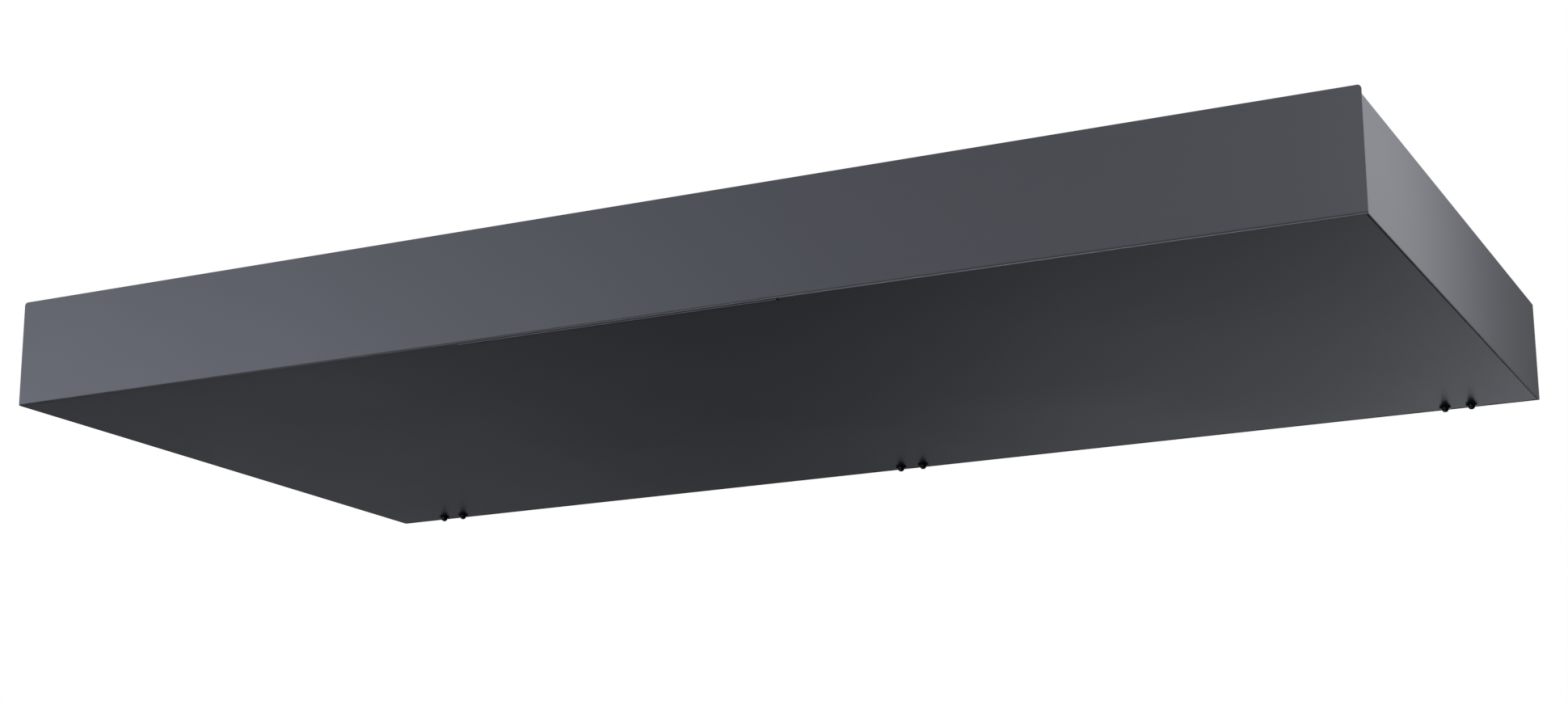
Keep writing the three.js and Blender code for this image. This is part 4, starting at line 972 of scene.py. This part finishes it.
class HOOD_OT_buttons(bpy.types.Operator):
    """Finish the switch fascia and turn the four dished push buttons"""
    bl_idname = "hood.buttons"
    bl_label = "Push buttons"

    def execute(self, context):
        show_rounded(["button_fascia"], 0.5 * MM, finish(black_abs))
        radius, flange = 7.0, 8.5
        profile = [
            (0, 0.55), (2.5, 0.48), (4.4, 0.25), (5.4, 0.03), (5.9, 0), (6.5, 0.12), (6.85, 0.45),
            (radius, 0.9), (radius, 4.8), (flange, 4.8), (flange, 6.0), (0, 6.0)]
        for number in range(1, 5):
            node = f"push_button_{number}"
            centre, low = middle_of(node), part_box(node)[0]
            button = turned(profile, (centre.x, centre.y, low.z), steps=48)
            show(mesh_of(button, node), f"finished_{node}", node, finish(grey_abs))
        return {"FINISHED"}


class HOOD_OT_controls(bpy.types.Operator):
    """Finish the control box, its circuit board and its cable gland"""
    bl_idname = "hood.controls"
    bl_label = "Controls"

    def execute(self, context):
        show_rounded(["control_box", "control_box_cover"], 0.3 * MM, finish(galvanised_sheet))
        board = mesh_of(rounded(welded("control_board"), 0.2 * MM), "control_board")
        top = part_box("control_board")[1].z
        thickness = 1.6 * MM
        show(board, "finished_control_board", "control_board", finish(solder_mask), finish(black_abs))
        for face in board.polygons:
            if face.center.z < top - thickness - 0.1 * MM:
                face.material_index = 1
        low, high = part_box("cable_gland")
        centre, rise = middle_of("cable_gland"), (high.z - low.z) / MM
        nut, sleeve, bore, seat = 11.0, 7.5, 4.0, rise - 10.0
        across = nut * math.cos(math.pi / 6)
        profile = [
            (bore, 0.2), (bore + 0.2, 0), (across - 0.4, 0, 6), (across, 0.4, 6), (across, 4.6, 6),
            (across - 0.4, 5, 6), (sleeve, 5), (sleeve, seat), (nut, seat), (nut, seat + 0.9),
            (across - 0.5, seat + 1.2, 6), (across, seat + 1.6, 6), (across, seat + 5.4, 6),
            (across - 0.5, seat + 5.9, 6), (sleeve + 0.6, seat + 6.1), (sleeve + 0.4, seat + 8.2),
            (sleeve - 1.2, seat + 9.7), (bore + 1, seat + 10), (bore, seat + 9.6)]
        gland = turned(profile, (centre.x, centre.y, low.z), closed=True, steps=48)
        show(mesh_of(gland, "cable_gland"), "finished_cable_gland", "cable_gland", finish(black_abs))
        return {"FINISHED"}


# ---- Panel and registration -----------------------------------------------------------------------

OPERATORS = [
    HOOD_OT_studio, HOOD_OT_casing, HOOD_OT_rails, HOOD_OT_closing_panel, HOOD_OT_panel_screws,
    HOOD_OT_hinges, HOOD_OT_magnets, HOOD_OT_filters, HOOD_OT_latches, HOOD_OT_blower, HOOD_OT_outlet,
    HOOD_OT_light, HOOD_OT_buttons, HOOD_OT_controls,
]


class HOOD_PT_panel(bpy.types.Panel):
    """The hood's sizes, colours and building steps"""
    bl_idname = "HOOD_PT_panel"
    bl_label = "Island extractor hood"
    bl_space_type = "VIEW_3D"
    bl_region_type = "UI"
    bl_category = "Hood"

    def draw(self, context):
        scene = context.scene
        for group in (scene.hood_sizes, scene.hood_colours, scene.hood_studio):
            box = self.layout.box()
            for name in group.__annotations__:
                box.prop(group, name)
        for operator in OPERATORS:
            self.layout.operator(operator.bl_idname)


GROUPS = {"hood_sizes": HoodSizes, "hood_colours": HoodColours, "hood_studio": HoodStudio}


def register():
    for kind in (*GROUPS.values(), *OPERATORS, HOOD_PT_panel):
        bpy.utils.register_class(kind)
    for name, group in GROUPS.items():
        setattr(bpy.types.Scene, name, PointerProperty(type=group))


def unregister():
    for name in GROUPS:
        delattr(bpy.types.Scene, name)
    for kind in (HOOD_PT_panel, *reversed(OPERATORS), *GROUPS.values()):
        bpy.utils.unregister_class(kind)


def main():
    register()
    for operator in OPERATORS:
        category, name = operator.bl_idname.split(".")
        getattr(getattr(bpy.ops, category), name)()


if __name__ == "__main__":
    main()
